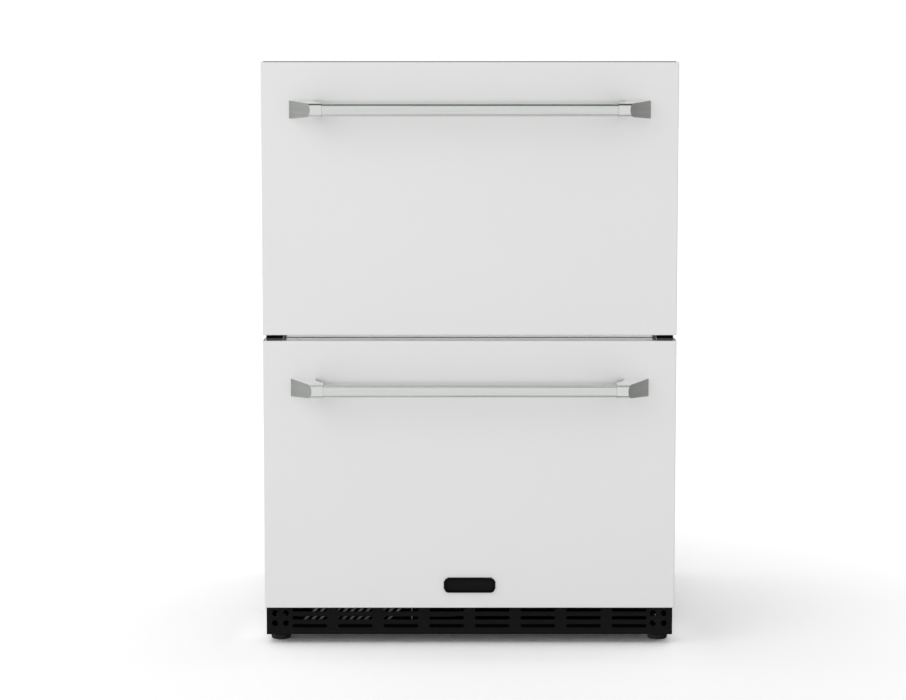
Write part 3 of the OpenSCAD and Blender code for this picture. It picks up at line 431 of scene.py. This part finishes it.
def slantedPlace(tree, slant):
    # the same place on the left and right ends, turned so that X runs along their slanted faces
    axes = axesOf(tree, objectPlace(tree))
    joined = addNode(tree, "ShaderNodeCombineXYZ")
    tree.links.new(mathNode(tree, "ABSOLUTE", axes["X"]), joined.inputs["X"])
    tree.links.new(axes["Y"], joined.inputs["Y"])
    tree.links.new(axes["Z"], joined.inputs["Z"])
    turned = addNode(tree, "ShaderNodeMapping")
    turned.inputs["Rotation"].default_value = (0, 0, -math.radians(slant))
    tree.links.new(joined.outputs[0], turned.inputs["Vector"])
    return turned.outputs["Vector"]


def bracketMetal(name, spec):
    material, tree, shader = newMaterial(name, spec["noseRoughness"], 1.0)
    outward = outwardFacing(tree, objectPlace(tree))
    end = spreadValue(tree, outward, spec["endOut"])
    # painted shade: the hollow on the inner side is darkened
    hollowShade = spreadValue(tree, outward, spec["hollowShadeOut"])
    # painted highlight: faces that look up or down are lighter
    upright = mathNode(tree, "ABSOLUTE", axesOf(tree, faceNormal(tree))["Z"])
    flareHighlight = spreadValue(tree, upright, spec["flareHighlightUp"])
    brush = useGroup(tree, "brush", Stretch=spec["stretch"], Color=rgba(spec["endColor"]),
                     Line_Color=rgba(spec["endLines"]))
    tree.links.new(slantedPlace(tree, spec["slant"]), brush.inputs["Vector"])
    bright = mixColor(tree, flareHighlight, rgba(spec["noseColor"]), rgba(spec["flareHighlightColor"]))
    bright = mixColor(tree, hollowShade, bright, rgba(spec["hollowShadeColor"]))
    tree.links.new(mixColor(tree, end, bright, brush.outputs["Color"]), shader.inputs["Base Color"])
    linkRoughness(tree, shader, end, spec["noseRoughness"], spec["endRoughness"])
    tree.links.new(spreadValue(tree, end, toRange=(1.0, spec["endMetal"])), shader.inputs["Metallic"])
    relief = spreadValue(tree, end, toRange=(0.0, spec["endRelief"]))
    linkBump(tree, shader, brush.outputs["Height"], relief, spec["depth"])
    return material


# black blocks at the ends of the gap, with painted shade and light: the upper half, which stands back in the
# gap, is darker, and the lower half, which stands further out, is paler
endBlockSpec = {
    "roughness": 0.6,
    "specular": 0.1,
    "upperShadeColor": (0.0015, 0.0015, 0.0015),
    "lowerLitColor": (0.055, 0.055, 0.055),
    "lowerLitSecond": (0.045, 0.045, 0.045),
    "stepBelow": (0.0002, 0.0009),   # where black turns into the paler tone, below the step
    "innerLightColor": (0.60, 0.60, 0.60),  # painted light: the side that the bright rail mirrors is pale, so that its reflection in the rail shows light
    "innerLightOut": (-0.5, -0.9),
}


def endBlockPlastic(name, spec, step):
    material, tree, shader = newMaterial(name, spec["roughness"], Specular_IOR_Level=spec["specular"])
    place = objectPlace(tree)
    high, low = spec["stepBelow"]
    # painted shade above the step and painted light below it
    below = spreadValue(tree, axesOf(tree, place)["Z"], (step - high, step - low))
    shade = useCloud(tree, finishSpec["moulding"], spec["lowerLitColor"], spec["lowerLitSecond"])
    color = mixColor(tree, below, rgba(spec["upperShadeColor"]), shade.outputs["Color"])
    # painted light: the inner side is pale so that the polished rail mirrors it light
    inner = spreadValue(tree, outwardFacing(tree, place), spec["innerLightOut"])
    tree.links.new(mixColor(tree, inner, color, rgba(spec["innerLightColor"])), shader.inputs["Base Color"])
    return material


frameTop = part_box("face_frame")[1].z
# painted shade along the top edge of the face frame
frameRimShade = {"heights": (frameTop - 0.0016, frameTop - 0.0012), "color": (0.07, 0.07, 0.07)}
copperFrontDarkening = {"reach": (-0.02, -0.10), "color": (0.05, 0.026, 0.018)}  # darker towards the front, near the kick grille

materials = {  # name, colour, second colour and roughness, then what is special
    "painted_front": coatedSheet(
        "paintedFront", (0.70, 0.70, 0.698), (0.685, 0.685, 0.683), 0.45, 0.03, coat=1.0),
    "casing_steel": coatedSheet(
        "casingSteel", (0.56, 0.565, 0.57), (0.52, 0.525, 0.53), 0.45, 0.1),
    "stainless": brushedSteel(
        "stainlessFrame", (0.96, 0.965, 0.96), (0.92, 0.925, 0.92), 0.08, (7.0, 900.0, 900.0),
        relief=0.02, metallic=0.88, rim=frameRimShade),
    "handle_steel": brushedSteel(
        "handleSteel", (0.655, 0.675, 0.655), (0.60, 0.62, 0.60), 0.2, (9.0, 1300.0, 1300.0)),
    "bracket_steel": bracketMetal("bracketSteel", bracketSpec),
    "black_plastic": moulded(
        "blackMoulding", (0.0028, 0.0028, 0.0030), (0.0045, 0.0045, 0.0045), 0.6, specular=0.1),
    "white_plastic": moulded("whiteLiner", (0.78, 0.79, 0.79), (0.72, 0.73, 0.74), 0.32),
    "bin_plastic": moulded("binPlastic", (0.60, 0.63, 0.65), (0.55, 0.58, 0.60), 0.30),
    "foam": foamBlock("insulationFoam", (0.72, 0.62, 0.36), (0.60, 0.50, 0.26), 0.9),
    "gasket_rubber": moulded("gasketRubber", (0.17, 0.17, 0.18), (0.13, 0.13, 0.14), 0.6, grain=700.0),
    "foot_rubber": moulded(
        "footRubber", (0.006, 0.006, 0.006), (0.012, 0.012, 0.012), 0.6,
        grain=1100.0, relief=0.12, specular=0.2),
    "zinc_steel": brushedSteel(
        "zincSlides", (0.62, 0.64, 0.67), (0.50, 0.53, 0.57), 0.30, (800.0, 6.0, 800.0)),
    "ball_steel": tubeMetal("ballSteel", (0.80, 0.80, 0.81), (0.70, 0.70, 0.72), 0.15),
    "galvanised": coatedSheet("galvanisedSheet", (0.42, 0.43, 0.44), (0.33, 0.34, 0.36), 0.42, 0.15),
    "pan_black": moulded(
        "panCoating", (0.0015, 0.0015, 0.0015), (0.0025, 0.0025, 0.0025), 0.7,
        grain=900.0, relief=0.12, specular=0.02),
    "aluminium_fins": tubeMetal("aluminiumFins", (0.30, 0.31, 0.31), (0.20, 0.21, 0.21), 0.45),
    "copper": tubeMetal("copperTube", (0.36, 0.17, 0.10), (0.17, 0.075, 0.045), 0.4, copperFrontDarkening),
    "compressor_black": coatedSheet(
        "compressorEnamel", (0.012, 0.012, 0.013), (0.02, 0.02, 0.02), 0.35, 0.2, coat=0.4),
    "motor_grey": moulded("motorMoulding", (0.06, 0.06, 0.065), (0.04, 0.04, 0.045), 0.5),
    "fan_plastic": moulded("fanBlack", (0.03, 0.03, 0.03), (0.045, 0.045, 0.045), 0.42),
    "fan_white": moulded("fanWhite", (0.66, 0.66, 0.66), (0.58, 0.58, 0.58), 0.4),
    "display_black": moulded(
        "displayWindow", (0.004, 0.005, 0.007), (0.006, 0.007, 0.01), 0.12, grain=2000.0, relief=0.01),
    "button_white": moulded("keyWhite", (0.78, 0.78, 0.78), (0.72, 0.72, 0.72), 0.38),
    "lamp_diffuser": lampLens("lampLens", lensSpec),
}
ownMaterials = {  # nodes whose finish differs from the rest of their slot
    "gap_end_blocks": endBlockPlastic("endBlock", endBlockSpec, middleOf("gap_end_blocks").z),
    "condenser_coil": tubeMetal("lacqueredCoil", (0.045, 0.024, 0.016), (0.02, 0.012, 0.009), 0.5),
}


def materialOf(nodeName):
    return ownMaterials.get(nodeName, materials[slotOfNode[nodeName]])


def dressCadNodes():
    for name, part in nodes.items():
        material = materialOf(name)
        if part.material_slots:
            for materialSlot in part.material_slots:
                materialSlot.material = material
        else:
            part.data.materials.append(material)


dressCadNodes()
print("materials:", len(materials))


# modelling helpers
def pickOnly(*pieces):
    bpy.ops.object.select_all(action="DESELECT")
    for piece in pieces:
        piece.select_set(True)
    bpy.context.view_layer.objects.active = pieces[0]


def applyAll(piece):
    pickOnly(piece)
    for modifier in list(piece.modifiers):
        bpy.ops.object.modifier_apply(modifier=modifier.name)


def settle(piece):
    # the object goes to the origin, with its place in its mesh
    pickOnly(piece)
    bpy.ops.object.transform_apply(location=True, rotation=True, scale=True)


def newPrimitive(adder, place, scale=(1, 1, 1), **settings):
    bpy.ops.object.select_all(action="DESELECT")
    adder(location=place, **settings)
    piece = bpy.context.object
    piece.scale = scale
    settle(piece)
    return piece


def newBox(place, size):
    return newPrimitive(bpy.ops.mesh.primitive_cube_add, place, size, size=1)


def copyTo(model, place, turn=(0, 0, 0)):
    piece = bpy.data.objects.new("copy", model.data.copy())
    scene.collection.objects.link(piece)
    piece.location = place
    piece.rotation_euler = turn
    settle(piece)
    return piece


def joinAll(pieces):
    pickOnly(*pieces)
    if len(pieces) > 1:
        bpy.ops.object.join()
    return bpy.context.object


def cutAway(piece, cutter):
    cut = piece.modifiers.new("cut", "BOOLEAN")
    cut.operation = "DIFFERENCE"
    cut.object = cutter
    applyAll(piece)
    bpy.data.objects.remove(cutter, do_unlink=True)


def selectEdges(piece, test):
    pickOnly(piece)
    bpy.ops.object.mode_set(mode="EDIT")
    bpy.ops.mesh.select_all(action="DESELECT")
    bpy.ops.object.mode_set(mode="OBJECT")
    corners = piece.data.vertices
    for edge in piece.data.edges:
        edge.select = test(corners[edge.vertices[0]].co, corners[edge.vertices[1]].co)


def bevelSelected(piece, offset, segments):
    pickOnly(piece)
    bpy.ops.object.mode_set(mode="EDIT")
    bpy.ops.mesh.bevel(offset=offset, segments=segments, affect="EDGES")
    bpy.ops.object.mode_set(mode="OBJECT")


def finishPiece(piece, name, body, slotName, replaced=(), material=None):
    settle(piece)
    piece.name = name
    piece.data.materials.clear()
    piece.data.materials.append(material or materials[slotName])
    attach(piece, body)
    if replaced:
        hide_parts(*replaced)
    return piece


# copies of CAD pieces with their seams merged and their sharp edges rounded
edgeSpec = {
    "mergeDistance": 0.00001,
    "flatAngle": 0.3,   # degrees: faces that meet at less are one face
    "sharpAngle": 35,   # degrees: edges that turn by more are rounded
    "segments": 2,
}
softEdges = {  # edge radius of each piece whose sheet or moulding shows its edges
    "gap_end_blocks": 0.0004,
    "kick_grille": 0.0004,
    "upper_handle_brackets": 0.0005,
    "lower_handle_brackets": 0.0005,
    "outer_casing": 0.0003,
    "control_housing": 0.0006,
    "evaporator_cover": 0.0006,
    "upper_bin": 0.0006,
    "lower_bin": 0.0006,
    "face_frame": 0.0004,
    "centre_rail": 0.0004,
    "inner_liner": 0.0008,
    "upper_side_arms": 0.0003,
    "lower_side_arms": 0.0003,
    "base_pan": 0.0004,
    "back_panel": 0.0003,
    "drain_pan": 0.0005,
    "relay_cover": 0.0005,
}


def bevelEdges(piece, width, spec):
    pickOnly(piece)
    sharp = math.radians(spec["sharpAngle"])
    bpy.ops.object.shade_smooth_by_angle(angle=sharp)
    bevel = piece.modifiers.new("edges", "BEVEL")
    bevel.width = width
    bevel.segments = spec["segments"]
    bevel.limit_method = "ANGLE"
    bevel.angle_limit = sharp
    bevel.use_clamp_overlap = True
    bevel.harden_normals = True  # flat faces stay flat, only the rounded edges turn
    applyAll(piece)


def softenedCopy(nodeName, width, spec):
    name = nodeName + "_finish"
    piece = bpy.data.objects.new(name, nodes[nodeName].data.copy())
    scene.collection.objects.link(piece)
    pickOnly(piece)
    bpy.ops.object.mode_set(mode="EDIT")
    bpy.ops.mesh.select_all(action="SELECT")
    bpy.ops.mesh.remove_doubles(threshold=spec["mergeDistance"])
    bpy.ops.mesh.dissolve_limited(angle_limit=math.radians(spec["flatAngle"]))
    bpy.ops.object.mode_set(mode="OBJECT")
    bevelEdges(piece, width, spec)
    finishPiece(piece, name, bodyOfNode[nodeName], slotOfNode[nodeName], (nodeName,), materialOf(nodeName))


for nodeName, edgeWidth in softEdges.items():
    softenedCopy(nodeName, edgeWidth, edgeSpec)
print("softened copies:", len(softEdges))


# screws: a cross-head screw is modelled for each set and copied
screwSpec = {
    "radius": 0.0038,
    "sides": 28,
    "flushHeight": 0.0004,  # outside, where the part's box allows no more
    "panHeight": 0.0016,    # inside
    "domeShare": 0.7,       # part of the head's height that is rounded
    "domeSteps": 3,
    "crossLength": 0.0042,
    "crossWidth": 0.0009,
    "crossShare": 1.3,      # height of the cutting bars, in heads
    "turnStep": 17,         # degrees from one screw's cross to the next
    "smoothAngle": 30,
}
sheetScrews = {
    "edge": 0.009,          # screws stand this far inside a sheet's edge
    "backRows": 4,
    "coverRows": 2,
    "coverInset": 0.012,    # on the white evaporator cover
    "tabInset": 0.015,      # from the outer face of an arm to its screws
    "tabHeights": (0.010, 0.045),
    "armThickness": 0.002,
}


def makeScrewHead(spec, height):
    # stands on the plane z = 0 and faces up
    head = newPrimitive(bpy.ops.mesh.primitive_cylinder_add, (0, 0, height / 2),
                        vertices=spec["sides"], radius=spec["radius"], depth=height)
    selectEdges(head, lambda first, second: min(first.z, second.z) > height / 2)
    bevelSelected(head, height * spec["domeShare"], spec["domeSteps"])
    long, narrow, deep = spec["crossLength"], spec["crossWidth"], height * spec["crossShare"]
    for size in ((long, narrow, deep), (narrow, long, deep)):
        cutAway(head, newBox((0, 0, height), size))
    return head


def addScrews(name, body, slotName, height, spots, facing):
    # facing is +1 where the heads look to the rear and -1 where they look to the front
    head = makeScrewHead(screwSpec, height)
    tilt, step = math.radians(-90 * facing), screwSpec["turnStep"]
    screws = joinAll([copyTo(head, spot, (tilt, math.radians(step * index), 0))
                      for index, spot in enumerate(spots)])
    bpy.data.objects.remove(head, do_unlink=True)
    pickOnly(screws)
    bpy.ops.object.shade_smooth_by_angle(angle=math.radians(screwSpec["smoothAngle"]))
    finishPiece(screws, name, body, slotName)


def evenly(low, high, count):
    return [low + (high - low) * index / (count - 1) for index in range(count)]


def backPanelSpots(spec):
    low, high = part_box("back_panel")
    middle = middleOf("back_panel").z
    seam = max(corner.co.z for corner in nodes["back_panel"].data.vertices if corner.co.z < middle)
    edge = spec["edge"]
    rows = evenly(seam + edge, high.z - edge, spec["backRows"])
    rows += evenly(low.z + edge, seam - edge, spec["coverRows"])
    spots = [(x, high.y, z) for z in rows for x in (low.x + edge, high.x - edge)]
    return spots + [(0, high.y, seam - edge), (0, high.y, high.z - edge)]


def evaporatorCoverSpots(spec):
    low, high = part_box("evaporator_cover")
    edge = spec["coverInset"]
    return [(x, low.y, z) for x in (low.x + edge, high.x - edge) for z in (low.z + edge, high.z - edge)]


def armSpots(spec, nodeName):
    low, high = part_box(nodeName)
    return [(side * (high.x - spec["tabInset"]), low.y + spec["armThickness"], low.z + up)
            for side in (-1, 1) for up in spec["tabHeights"]]


addScrews("back_screws", "cabinet", "zinc_steel", screwSpec["flushHeight"], backPanelSpots(sheetScrews), 1)
addScrews("evaporator_cover_screws", "cabinet", "white_plastic", screwSpec["panHeight"],
          evaporatorCoverSpots(sheetScrews), -1)
for level in ("upper", "lower"):
    addScrews(level + "_arm_screws", level + "_drawer", "zinc_steel", screwSpec["panHeight"],
              armSpots(sheetScrews, level + "_side_arms"), 1)
print("screws added")


# threads: one ridge is wound round a foot's stem and copied
threadSpec = {
    "pitch": 0.00125,
    "stemRadius": 0.004,
    "ridge": 0.0003,
    "start": 0.0155,     # height of the lowest turn, above the pad
    "endGap": 0.001,
    "steps": 16,
    "mergeDistance": 0.000001,
}


def makeThread(spec, top):
    radius = spec["stemRadius"] - spec["ridge"] / 3  # a third of the ridge is sunk in the stem
    thread = newPrimitive(bpy.ops.mesh.primitive_circle_add, (radius, 0, spec["start"]),
                          vertices=4, radius=spec["ridge"], rotation=(math.radians(90), 0, 0))
    wind = thread.modifiers.new("wind", "SCREW")
    wind.axis = "Z"
    wind.screw_offset = spec["pitch"]
    wind.iterations = int((top - spec["endGap"] - spec["start"]) / spec["pitch"])
    wind.steps = wind.render_steps = spec["steps"]
    applyAll(thread)
    bpy.ops.object.mode_set(mode="EDIT")
    bpy.ops.mesh.select_all(action="SELECT")
    bpy.ops.mesh.remove_doubles(threshold=spec["mergeDistance"])
    bpy.ops.mesh.fill_holes(sides=4)
    bpy.ops.mesh.select_all(action="SELECT")
    bpy.ops.mesh.normals_make_consistent(inside=False)
    bpy.ops.object.mode_set(mode="OBJECT")
    return thread


def addThreads(spec):
    feet = [place + "_" + side for place in ("front", "rear") for side in ("left", "right")]
    thread = makeThread(spec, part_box(feet[0] + "_foot")[1].z)
    for name in feet:
        center = middleOf(name + "_foot")
        ridge = copyTo(thread, (center.x, center.y, 0))
        finishPiece(ridge, name + "_thread", name + "_leg", slotOfNode[name + "_foot"])
    bpy.data.objects.remove(thread, do_unlink=True)


addThreads(threadSpec)
print("threads added")


# signs on the controls: two lit digits, and a printed mark on each key
signSpec = {
    "reading": "38",
    "digitHeight": 0.0072,
    "digitPitch": 0.0062,
    "barWidth": 0.0009,
    "barShare": 0.86,       # length of a digit's bar, in half digits
    "pointShare": 0.45,     # how much of its width a bar's point takes
    "ringSides": (32, 8),
    "degreePlace": (1.5, 0.4),  # from the middle, in pitches and in digits
    "raise": 0.00012,       # how far a sign stands off its face
    "keyMark": 0.0034,
    "glowColor": (0.75, 0.90, 1.0),
    "glow": 1.2,
    "printColor": (0.05, 0.05, 0.055),
    "roughness": 0.5,
    "shade": 0.85,          # the second tone of a sign's colour
}
markSpec = {  # shares of a key mark's size, apart from rays and rayStart
    "powerGap": 0.5,
    "powerBar": 0.6,
    "powerUp": 0.4,
    "lampRing": 0.25,
    "rays": 6,
    "rayStart": 30,   # degrees
    "rayPlace": 0.6,
    "rayLength": 0.3,
}
litBars = {"3": "abcdg", "8": "abcdefg"}  # bars of a digit, from the top clockwise, the middle one last


def signMaterial(name, color, glow=0.0):
    material, tree, shader = newMaterial(name, signSpec["roughness"])
    second = tuple(signSpec["shade"] * part for part in color)
    shown = useCloud(tree, finishSpec["print"], color, second).outputs["Color"]
    tree.links.new(shown, shader.inputs["Base Color"])
    if glow > 0:
        tree.links.new(shown, shader.inputs["Emission Color"])
        shader.inputs["Emission Strength"].default_value = glow
    return material


signMaterials = {
    "glow": signMaterial("displayGlow", signSpec["glowColor"], signSpec["glow"]),
    "print": signMaterial("keyPrint", signSpec["printColor"]),
}


def signBar(place, length, angle=0.0):
    # a flat bar with pointed ends, in front of the face at place
    width, thick = signSpec["barWidth"], signSpec["raise"]
    bar = newBox((0, 0, 0), (length, thick, width))
    selectEdges(bar, lambda first, second: abs(first.y - second.y) > thick / 2)
    bevelSelected(bar, width * signSpec["pointShare"], 1)
    bar.rotation_euler = (0, math.radians(angle), 0)
    bar.location = place
    settle(bar)
    return bar


def signRing(place, radius, gap=0.0):
    width = signSpec["barWidth"]
    around, across = signSpec["ringSides"]
    ring = newPrimitive(bpy.ops.mesh.primitive_torus_add, (0, 0, 0), (1, 1, signSpec["raise"] / width),
                        major_radius=radius, minor_radius=width / 2,
                        major_segments=around, minor_segments=across)
    ring.rotation_euler = (math.radians(90), 0, 0)
    settle(ring)
    if gap > 0:
        cutAway(ring, newBox((0, 0, radius), (gap, gap, gap)))
    ring.location = place
    settle(ring)
    return ring


def digitBars(center, digit):
    half = signSpec["digitHeight"] / 2
    side = half / 2
    layout = {"a": (0, half, 0), "b": (side, side, 90), "c": (side, -side, 90), "d": (0, -half, 0),
              "e": (-side, -side, 90), "f": (-side, side, 90), "g": (0, 0, 0)}
    for key in litBars[digit]:
        right, up, angle = layout[key]
        yield signBar(center + Vector((right, 0, up)), half * signSpec["barShare"], angle)


def signCenter(nodeName):
    center = middleOf(nodeName)
    center.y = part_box(nodeName)[0].y - signSpec["raise"] / 2
    return center


def addReading(spec):
    center = signCenter("display_window")
    start = -(len(spec["reading"]) - 1) / 2
    bars = [bar for index, digit in enumerate(spec["reading"])
            for bar in digitBars(center + Vector(((start + index) * spec["digitPitch"], 0, 0)), digit)]
    right, up = spec["degreePlace"]
    degree = center + Vector((spec["digitPitch"] * right, 0, spec["digitHeight"] * up))
    reading = joinAll(bars + [signRing(degree, spec["barWidth"])])
    finishPiece(reading, "display_reading", "cabinet", "display_black", material=signMaterials["glow"])


def addKeyMark(nodeName, body, makeParts):
    mark = joinAll(makeParts(signCenter(nodeName), signSpec["keyMark"]))
    finishPiece(mark, nodeName + "_mark", body, "button_white", material=signMaterials["print"])


def powerMark(center, size):
    up = Vector((0, 0, size * markSpec["powerUp"]))
    return [signRing(center, size / 2, size * markSpec["powerGap"]),
            signBar(center + up, size * markSpec["powerBar"], 90)]


def lampMark(center, size):
    rays = []
    for index in range(markSpec["rays"]):
        angle = 360 / markSpec["rays"] * index + markSpec["rayStart"]
        turn = math.radians(angle)
        place = center + Vector((math.cos(turn), 0, math.sin(turn))) * size * markSpec["rayPlace"]
        rays.append(signBar(place, size * markSpec["rayLength"], -angle))
    return [signRing(center, size * markSpec["lampRing"])] + rays


def colderMark(center, size):
    return [signBar(center, size)]


def warmerMark(center, size):
    return [signBar(center, size), signBar(center, size, 90)]


addReading(signSpec)
addKeyMark("power_button", "power_key", powerMark)
addKeyMark("lamp_button", "lamp_key", lampMark)
addKeyMark("colder_button", "colder_key", colderMark)
addKeyMark("warmer_button", "warmer_key", warmerMark)
print("signs added")


# plain plate where the photograph has a badge
plateSpec = {
    "height": 0.095,      # centre above the floor
    "width": 0.073,
    "depth": 0.0014,
    "tall": 0.020,
    "corner": 0.004,
    "cornerSteps": 8,
    "border": 0.0012,
    "slope": 0.0003,      # width of the slope from the border to the sunk field
    "sunk": 0.0004,
    "edge": 0.00025,
    "frontNormal": -0.9,  # a face whose normal goes further along -Y gets the border
}


def addPlate(spec):
    plate = newBox((0, faceY - spec["depth"] / 2, spec["height"]),
                   (spec["width"], spec["depth"], spec["tall"]))
    selectEdges(plate, lambda first, second: abs(first.y - second.y) > spec["depth"] / 2)
    bevelSelected(plate, spec["corner"], spec["cornerSteps"])
    selectEdges(plate, lambda first, second: False)
    for face in plate.data.polygons:
        face.select = face.normal.y < spec["frontNormal"]
    bpy.ops.object.mode_set(mode="EDIT")
    bpy.ops.mesh.inset(thickness=spec["border"], depth=0)
    bpy.ops.mesh.inset(thickness=spec["slope"], depth=-spec["sunk"])
    bpy.ops.object.mode_set(mode="OBJECT")
    bevelEdges(plate, spec["edge"], edgeSpec)
    finishPiece(plate, "front_plate", "lower_drawer", "black_plastic")


addPlate(plateSpec)
print("front plate added")


# stage: pale floor, white studio, two soft lamps
stageSpec = {
    "floorSize": 60.0,
    "floorColor": (0.93, 0.93, 0.93, 1),
    "floorSecond": (0.92, 0.92, 0.92, 1),
    "floorCells": 1.5,
    "nearFloor": (1.09, 1.09, 1.09, 1),   # what the camera sees of the floor round the object, darker there as painted shade
    "openFloor": (1.42, 1.42, 1.42, 1),   # and further off
    "nearPlace": 0.9,     # how far the middle of the near floor is in front of the object's
    "nearReach": (0.2, 1.7),
    "liftFloor": (1.85, 1.85, 1.85, 1),   # and in the contact shadow under the front edge, lightened there as painted light
    "liftPlace": 0.17,    # how far that shadow is in front of the middle
    "liftReach": 0.16,
    "liftSides": (0.24, 0.36),
    "worldLight": 0.77,
    "sideTilt": 0.15,     # how much brighter the studio is on the left than in the middle
    "frontTone": 1.0,     # what metal reflects from the side of the camera
    "rearTone": 0.12,     # and from behind and the right, where the studio is dark
    "rearTurn": 0.8,      # how far the dark side is turned to the right
    "rearFade": (-0.25, 0.15),
    "lamps": {
        "upper_lamp": {"power": 8.0, "wide": 1.6, "high": 1.6, "place": (-1.3, -1.9, 1.9),
                       "aim": (0, -0.27, 0.8)},
        "front_lamp": {"power": 34.0, "wide": 0.5, "high": 0.4, "place": (-0.2, -4.4, 0.46),
                       "aim": (0, -0.27, 0.5)},
    },
}


def floorTone(tree, spec, place):
    # what the camera sees: painted shade that darkens the floor round the object, and painted light that
    # lifts the shadow under its front
    centred = addNode(tree, "ShaderNodeMapping")
    centred.inputs["Location"].default_value = (0, spec["nearPlace"], 0)
    tree.links.new(place, centred.inputs["Vector"])
    far = addNode(tree, "ShaderNodeVectorMath", operation="LENGTH")
    tree.links.new(centred.outputs["Vector"], far.inputs[0])
    opened = spreadValue(tree, far.outputs["Value"], spec["nearReach"])
    shown = mixColor(tree, opened, spec["nearFloor"], spec["openFloor"])
    axes = axesOf(tree, place)
    behind = mathNode(tree, "ABSOLUTE", mathNode(tree, "ADD", axes["Y"], spec["liftPlace"]))
    along = spreadValue(tree, behind, (0, spec["liftReach"]), (1, 0))
    across = spreadValue(tree, mathNode(tree, "ABSOLUTE", axes["X"]), spec["liftSides"], (1, 0))
    return mixColor(tree, mathNode(tree, "MULTIPLY", along, across), shown, spec["liftFloor"])


def addFloor(spec):
    bpy.ops.object.select_all(action="DESELECT")
    bpy.ops.mesh.primitive_plane_add(size=spec["floorSize"], location=(0, 0, 0))
    floor = bpy.context.object
    floor.name = "floor"
    floor.visible_glossy = False
    material, tree, shader = newMaterial("paleFloor", 1.0, Specular_IOR_Level=0.0)
    place = objectPlace(tree)
    plain = mixColor(tree, noise(tree, place, spec["floorCells"]), spec["floorColor"], spec["floorSecond"])
    seen = addNode(tree, "ShaderNodeLightPath").outputs["Is Camera Ray"]
    tree.links.new(mixColor(tree, seen, plain, floorTone(tree, spec, place)), shader.inputs["Base Color"])
    floor.data.materials.append(material)


def addBackground(tree, strength=None):
    background = addNode(tree, "ShaderNodeBackground")
    background.inputs["Color"].default_value = (1, 1, 1, 1)
    if strength is not None:
        tree.links.new(strength, background.inputs["Strength"])
    return background.outputs[0]


def mixShader(tree, factor, first, second):
    mix = addNode(tree, "ShaderNodeMixShader")
    for index, output in enumerate((factor, first, second)):
        tree.links.new(output, mix.inputs[index])
    return mix.outputs[0]


def addWorld(spec):
    world = bpy.data.worlds.new("studio")
    scene.world = world
    world.use_nodes = True
    world.cycles.sampling_method = "NONE"  # an even studio, and metal sees its own tones of it
    tree = world.node_tree
    tree.nodes.clear()
    axes = axesOf(tree, addNode(tree, "ShaderNodeTexCoord").outputs["Generated"])
    tilt = spreadValue(tree, axes["X"], (-1, 1), (1 + spec["sideTilt"], 1 - spec["sideTilt"]))
    lit = addBackground(tree, mathNode(tree, "MULTIPLY", tilt, spec["worldLight"]))
    fade = addNode(tree, "ShaderNodeMapRange", interpolation_type="SMOOTHSTEP")
    numbers = (*spec["rearFade"], spec["frontTone"], spec["rearTone"])
    for label, number in zip(("From Min", "From Max", "To Min", "To Max"), numbers):
        fade.inputs[label].default_value = number
    aside = mathNode(tree, "MULTIPLY", axes["X"], spec["rearTurn"])
    tree.links.new(mathNode(tree, "ADD", axes["Y"], aside), fade.inputs["Value"])
    mirrored = addBackground(tree, fade.outputs["Result"])
    path = addNode(tree, "ShaderNodeLightPath").outputs
    unlit = mathNode(tree, "MAXIMUM", path["Is Camera Ray"], path["Is Transmission Ray"])
    seen = addBackground(tree)
    shown = mixShader(tree, unlit, mixShader(tree, path["Is Glossy Ray"], lit, mirrored), seen)
    tree.links.new(shown, addNode(tree, "ShaderNodeOutputWorld").inputs[0])


def addLamps(spec):
    for name, values in spec["lamps"].items():
        bpy.ops.object.light_add(type="AREA", location=values["place"])
        lamp = bpy.context.object
        lamp.name = name
        lamp.data.shape = "RECTANGLE"
        lamp.data.size = values["wide"]
        lamp.data.size_y = values["high"]
        lamp.data.energy = values["power"]
        aim = Vector(values["aim"]) - lamp.location
        lamp.rotation_euler = aim.to_track_quat("-Z", "Y").to_euler()
        lamp.visible_camera = False
        lamp.visible_glossy = False


addFloor(stageSpec)
addWorld(stageSpec)
addLamps(stageSpec)
scene.view_settings.view_transform = "Standard"
print("stage set")
